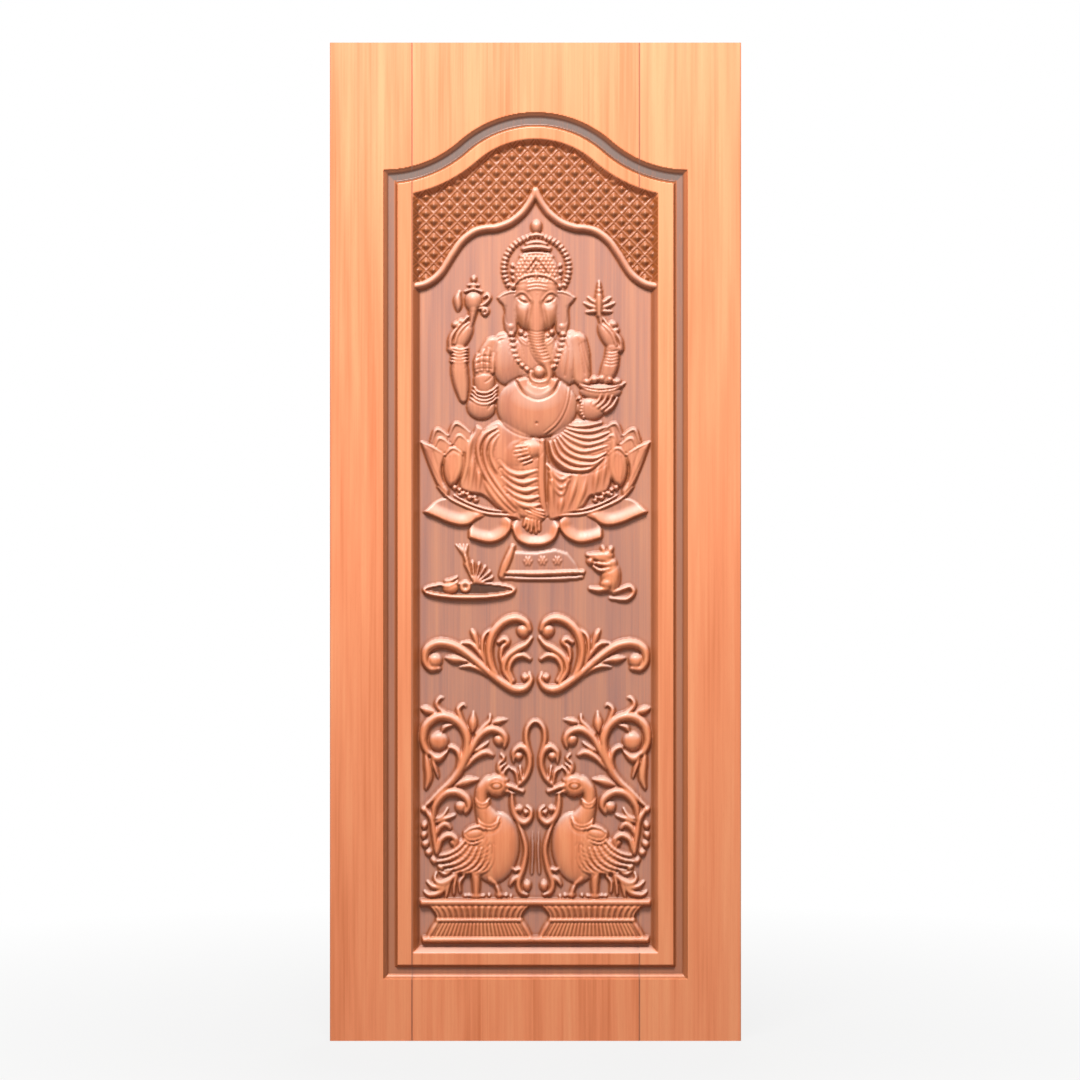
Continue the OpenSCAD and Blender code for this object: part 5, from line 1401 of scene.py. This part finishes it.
def eye_rays(tree):
    """1 for the rays that show a surface to the eye, straight, mirrored or through glass, and else 0."""
    rays = add_node(tree, "ShaderNodeLightPath").outputs
    seen = rays["Is Camera Ray"]
    for kind in ("Is Glossy Ray", "Is Transmission Ray"):
        seen = add_node(tree, "ShaderNodeMath", {0: seen, 1: rays[kind]}, operation="MAXIMUM").outputs[0]
    return seen


def pale_paper(studio):
    """Paper that is white to the eye away from the leaf, with the leaf's shadow kept beside it."""
    paper = bpy.data.materials.new("pale_paper")
    paper.use_nodes = True
    tree = paper.node_tree
    tree.nodes.clear()
    place = add_node(tree, "ShaderNodeTexCoord").outputs["Object"]
    away = add_node(tree, "ShaderNodeVectorMath", {0: place}, operation="LENGTH").outputs["Value"]
    share = add_node(tree, "ShaderNodeMapRange", {
        "Value": away, "From Min": 0.5, "From Max": 2.4, "To Min": 0.85, "To Max": 1.0,
    }).outputs["Result"]
    seen = add_node(tree, "ShaderNodeMath", {0: eye_rays(tree), 1: share}, operation="MULTIPLY").outputs[0]
    matt = add_node(tree, "ShaderNodeBsdfDiffuse", {"Color": linear(studio.paper)}).outputs["BSDF"]
    white = add_node(tree, "ShaderNodeEmission", {"Color": WHITE, "Strength": 1.0}).outputs["Emission"]
    both = add_node(tree, "ShaderNodeMixShader", {0: seen, 1: matt, 2: white}).outputs["Shader"]
    add_node(tree, "ShaderNodeOutputMaterial", {"Surface": both})
    return paper


def white_room(studio):
    """World that is white to the eye and lights the leaf with the fill's strength."""
    world = bpy.data.worlds.new("studio")
    world.use_nodes = True
    tree = world.node_tree
    tree.nodes.clear()
    strength = add_node(tree, "ShaderNodeMapRange", {
        "Value": eye_rays(tree), "To Min": studio.fill, "To Max": 1.0,
    }).outputs["Result"]
    sky = add_node(tree, "ShaderNodeBackground", {"Color": WHITE, "Strength": strength}).outputs["Background"]
    add_node(tree, "ShaderNodeOutputWorld", {"Surface": sky})
    return world


# Add-on


class DoorSizes(bpy.types.PropertyGroup):
    """Sizes of the leaf in millimetres, as the frame has them."""

    arris: bpy.props.FloatProperty(
        name="Arris", description="Chamfer on the long outer edges, mm", default=2,
    )
    opening_w: bpy.props.FloatProperty(
        name="Opening", description="Width at the groove's outer edge, mm", default=640,
    )
    bottom_border: bpy.props.FloatProperty(
        name="Foot border", description="Plain border below, mm", default=130,
    )
    crown_border: bpy.props.FloatProperty(
        name="Crown border", description="Plain border above, mm", default=147,
    )
    arch_rise: bpy.props.FloatProperty(name="Arch rise", description="Shoulders to crown, mm", default=121)
    groove_w: bpy.props.FloatProperty(name="Groove width", description="Border to band, mm", default=30)
    groove_depth: bpy.props.FloatProperty(
        name="Groove depth", description="Depth of the groove, mm", default=8,
    )
    bead_w: bpy.props.FloatProperty(name="Bead", description="Width of the rounded bead, mm", default=10)
    groove_slope_w: bpy.props.FloatProperty(name="Slope", description="Slope up to the band, mm", default=5)
    band_side_w: bpy.props.FloatProperty(
        name="Side band", description="Flat band at the sides, mm", default=32,
    )
    band_end_w: bpy.props.FloatProperty(
        name="End band", description="Flat band at arch and foot, mm", default=25,
    )
    wall_w: bpy.props.FloatProperty(name="Wall", description="Width of the sloping wall, mm", default=13)
    field_depth: bpy.props.FloatProperty(
        name="Field depth", description="Depth of the field, mm", default=18,
    )
    relief_guard: bpy.props.FloatProperty(name="Guard", description="Relief below the face, mm", default=2)
    seam_v: bpy.props.FloatProperty(name="Seam", description="Fine V along the outer joints, mm", default=1)
    tongue_t: bpy.props.FloatProperty(
        name="Tongue thickness", description="Thickness of a tongue, mm", default=8,
    )
    tongue_w: bpy.props.FloatProperty(
        name="Tongue width", description="How far a tongue stands out, mm", default=10,
    )
    tongue_from_back: bpy.props.FloatProperty(
        name="Tongue place", description="Middle from the back, mm", default=11,
    )
    tongue_side_gap: bpy.props.FloatProperty(
        name="Side room", description="Glue room beside it, mm", default=0.1,
    )
    tongue_end_gap: bpy.props.FloatProperty(
        name="End room", description="Glue room at its end, mm", default=0.5,
    )


class TeakLook(bpy.types.PropertyGroup):
    """Colours and grain of the oiled teak; colours are sRGB hex values."""

    wood: bpy.props.StringProperty(name="Wood", description="Middle tone of the wood", default="#f09062")
    light_grain: bpy.props.StringProperty(name="Light grain", description="Pale grain", default="#f7a070")
    dark_grain: bpy.props.StringProperty(name="Dark grain", description="Dark streaks", default="#dc7c4e")
    # Greyer tone of the sunk wood, and its warmer streaks
    field: bpy.props.StringProperty(name="Field", description="Dusty tone of sunk wood", default="#9c7770")
    field_streak: bpy.props.StringProperty(
        name="Field streak", description="Warm grain of sunk wood", default="#c58b72",
    )
    field_mix: bpy.props.FloatProperty(
        name="Field mix", description="Strength", default=0.85, subtype="FACTOR",
    )
    # Tint of the painted shade in corners, on sides that face down, in the groove and on its bead
    corner: bpy.props.StringProperty(name="Corners", description="Oil in tight corners", default="#954c1a")
    # Painted grey shadow on the groove's floor, and grey tint along the open joints and on the upper relief
    grey_shadow_and_tint: bpy.props.StringProperty(
        name="Dust", description="Grey dust in groove and joints", default="#78645c",
    )
    # Deepest painted shade, on the tray's floor and on the arch's bead and slope
    deep_shade_tint: bpy.props.StringProperty(
        name="Soot", description="Darkest corners and the tray's floor", default="#3a2a22",
    )
    # Painted highlight on edges and on sides that face up, and its strength
    edge: bpy.props.StringProperty(
        name="Edges", description="Rubbed and dusty upper edges", default="#f8d8c8",
    )
    highlight_strength: bpy.props.FloatProperty(
        name="Edge pale", description="Strength", default=0.55, subtype="FACTOR",
    )
    stud: bpy.props.StringProperty(name="Studs", description="Stain on the studs", default="#7c451d")
    stud_stain: bpy.props.FloatProperty(
        name="Stud stain", description="Strength", default=0.9, subtype="FACTOR",
    )
    # Strength of the painted shade
    painted_shade_strength: bpy.props.FloatProperty(
        name="Corner dark", description="Strength", default=0.8, subtype="FACTOR",
    )
    roughness: bpy.props.FloatProperty(
        name="Roughness", description="Of the oil", default=0.38, subtype="FACTOR",
    )
    band_width: bpy.props.FloatProperty(
        name="Bands", description="Width of the broad grain, mm", default=26,
    )
    streak_width: bpy.props.FloatProperty(
        name="Streaks", description="Width of the fine grain, mm", default=5,
    )


class StudioLook(bpy.types.PropertyGroup):
    """Camera, floor and light."""

    camera_gap: bpy.props.FloatProperty(
        name="Camera", description="From the face", default=6.31, unit="LENGTH",
    )
    camera_side: bpy.props.FloatProperty(
        name="Camera side", description="From the leaf's middle", default=0.0095, unit="LENGTH",
    )
    camera_height: bpy.props.FloatProperty(
        name="Camera height", description="Above the floor", default=1.0537, unit="LENGTH",
    )
    focal: bpy.props.FloatProperty(name="Focal length", description="Lens, mm", default=100)
    key_power: bpy.props.FloatProperty(
        name="Key", description="Lamp over the face", default=195, unit="POWER",
    )
    back_power: bpy.props.FloatProperty(
        name="Back", description="Lamp over the back", default=75, unit="POWER",
    )
    fill: bpy.props.FloatProperty(name="Fill", description="Strength of the world's light", default=0.27)
    paper: bpy.props.StringProperty(name="Paper", description="Floor", default="#8f8d8a")


class DOOR_OT_boards(bpy.types.Operator):
    """Carve the five boards of the leaf and give them their teak"""

    bl_idname = "door.boards"
    bl_label = "Carve boards"

    def execute(self, context):
        """Works out the face once and gives each board its own columns of it."""
        sizes = context.scene.door_sizes
        look = context.scene.teak_look
        rows = face_rows(sizes)
        columns = face_columns(sizes)
        shared = np.unique(np.concatenate(columns).round(6))
        face = carved_face(sizes, shared, rows)
        tones, soft = face_tones(face, sizes)
        for index, name in enumerate(BOARDS):
            own = columns[index].round(6)
            at = np.searchsorted(shared, own)
            values = {key: tone[:, at] for key, tone in tones.items()}
            chains = edge_chains(index, sizes)
            mesh = board_mesh(f"carved_{name}", own, rows, face.depth[:, at], chains, values, soft[:, at])
            mesh.materials.append(oiled_teak(index, look))
            board = bpy.data.objects.new(f"carved_{name}", mesh)
            context.scene.collection.objects.link(board)
            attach(board, "root")
            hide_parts(name)
        return {"FINISHED"}


class DOOR_OT_stage(bpy.types.Operator):
    """Set the floor, the light and the camera"""

    bl_idname = "door.stage"
    bl_label = "Set stage"

    def execute(self, context):
        """Builds the floor, the world, both lamps and the camera."""
        studio = context.scene.studio_look
        scene = context.scene
        scene.view_settings.view_transform = "Standard"
        face = LEAF_LOW[1]

        mesh = bpy.data.meshes.new("floor")
        corners = [(-6, -8, 0), (6, -8, 0), (6, 6, 0), (-6, 6, 0)]
        mesh.from_pydata(corners, [], [(0, 1, 2, 3)])
        floor = bpy.data.objects.new("floor", mesh)
        scene.collection.objects.link(floor)
        mesh.materials.append(pale_paper(studio))
        scene.world = white_room(studio)

        # Key lamp above the face, a little to the left, and a weaker one above the plain back
        for name, power, place, turn in (
            ("key", studio.key_power, (-0.35, face - 2.4, 3.9), (40, 0, -8)),
            ("back", studio.back_power, (0.35, 2.6, 3.6), (-46, 0, -8)),
        ):
            lamp = bpy.data.lights.new(name, "AREA")
            lamp.shape = "RECTANGLE"
            lamp.size = 1.5
            lamp.size_y = 0.9
            lamp.energy = power
            holder = bpy.data.objects.new(name, lamp)
            holder.location = place
            holder.rotation_euler = [math.radians(angle) for angle in turn]
            scene.collection.objects.link(holder)

        lens = bpy.data.cameras.new("camera")
        lens.lens = studio.focal
        lens.sensor_width = 36
        lens.clip_end = 50
        camera = bpy.data.objects.new("camera", lens)
        camera.location = (studio.camera_side, face - studio.camera_gap, studio.camera_height)
        camera.rotation_euler = (math.radians(90), 0, 0)
        scene.collection.objects.link(camera)
        scene.camera = camera
        return {"FINISHED"}


class DOOR_PT_panel(bpy.types.Panel):
    """Sizes, colours and steps of the door"""

    bl_idname = "DOOR_PT_panel"
    bl_label = "Carved door"
    bl_space_type = "VIEW_3D"
    bl_region_type = "UI"
    bl_category = "Door"

    def draw(self, context):
        """Lists the steps, the sizes and the looks."""
        for operator in (DOOR_OT_boards, DOOR_OT_stage):
            self.layout.operator(operator.bl_idname)
        for group in (context.scene.door_sizes, context.scene.teak_look, context.scene.studio_look):
            box = self.layout.box()
            for key in group.bl_rna.properties.keys():
                if key not in ("rna_type", "name"):
                    box.prop(group, key)


CLASSES = (DoorSizes, TeakLook, StudioLook, DOOR_OT_boards, DOOR_OT_stage, DOOR_PT_panel)


def register():
    """Registers the classes and hangs their settings on the scene."""
    for cls in CLASSES:
        bpy.utils.register_class(cls)
    bpy.types.Scene.door_sizes = bpy.props.PointerProperty(type=DoorSizes)
    bpy.types.Scene.teak_look = bpy.props.PointerProperty(type=TeakLook)
    bpy.types.Scene.studio_look = bpy.props.PointerProperty(type=StudioLook)


def unregister():
    """Takes the settings and the classes away again."""
    del bpy.types.Scene.studio_look
    del bpy.types.Scene.teak_look
    del bpy.types.Scene.door_sizes
    for cls in reversed(CLASSES):
        bpy.utils.unregister_class(cls)


def main():
    """Registers the add-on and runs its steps."""
    register()
    bpy.ops.door.stage()
    bpy.ops.door.boards()


if __name__ == "__main__":
    main()
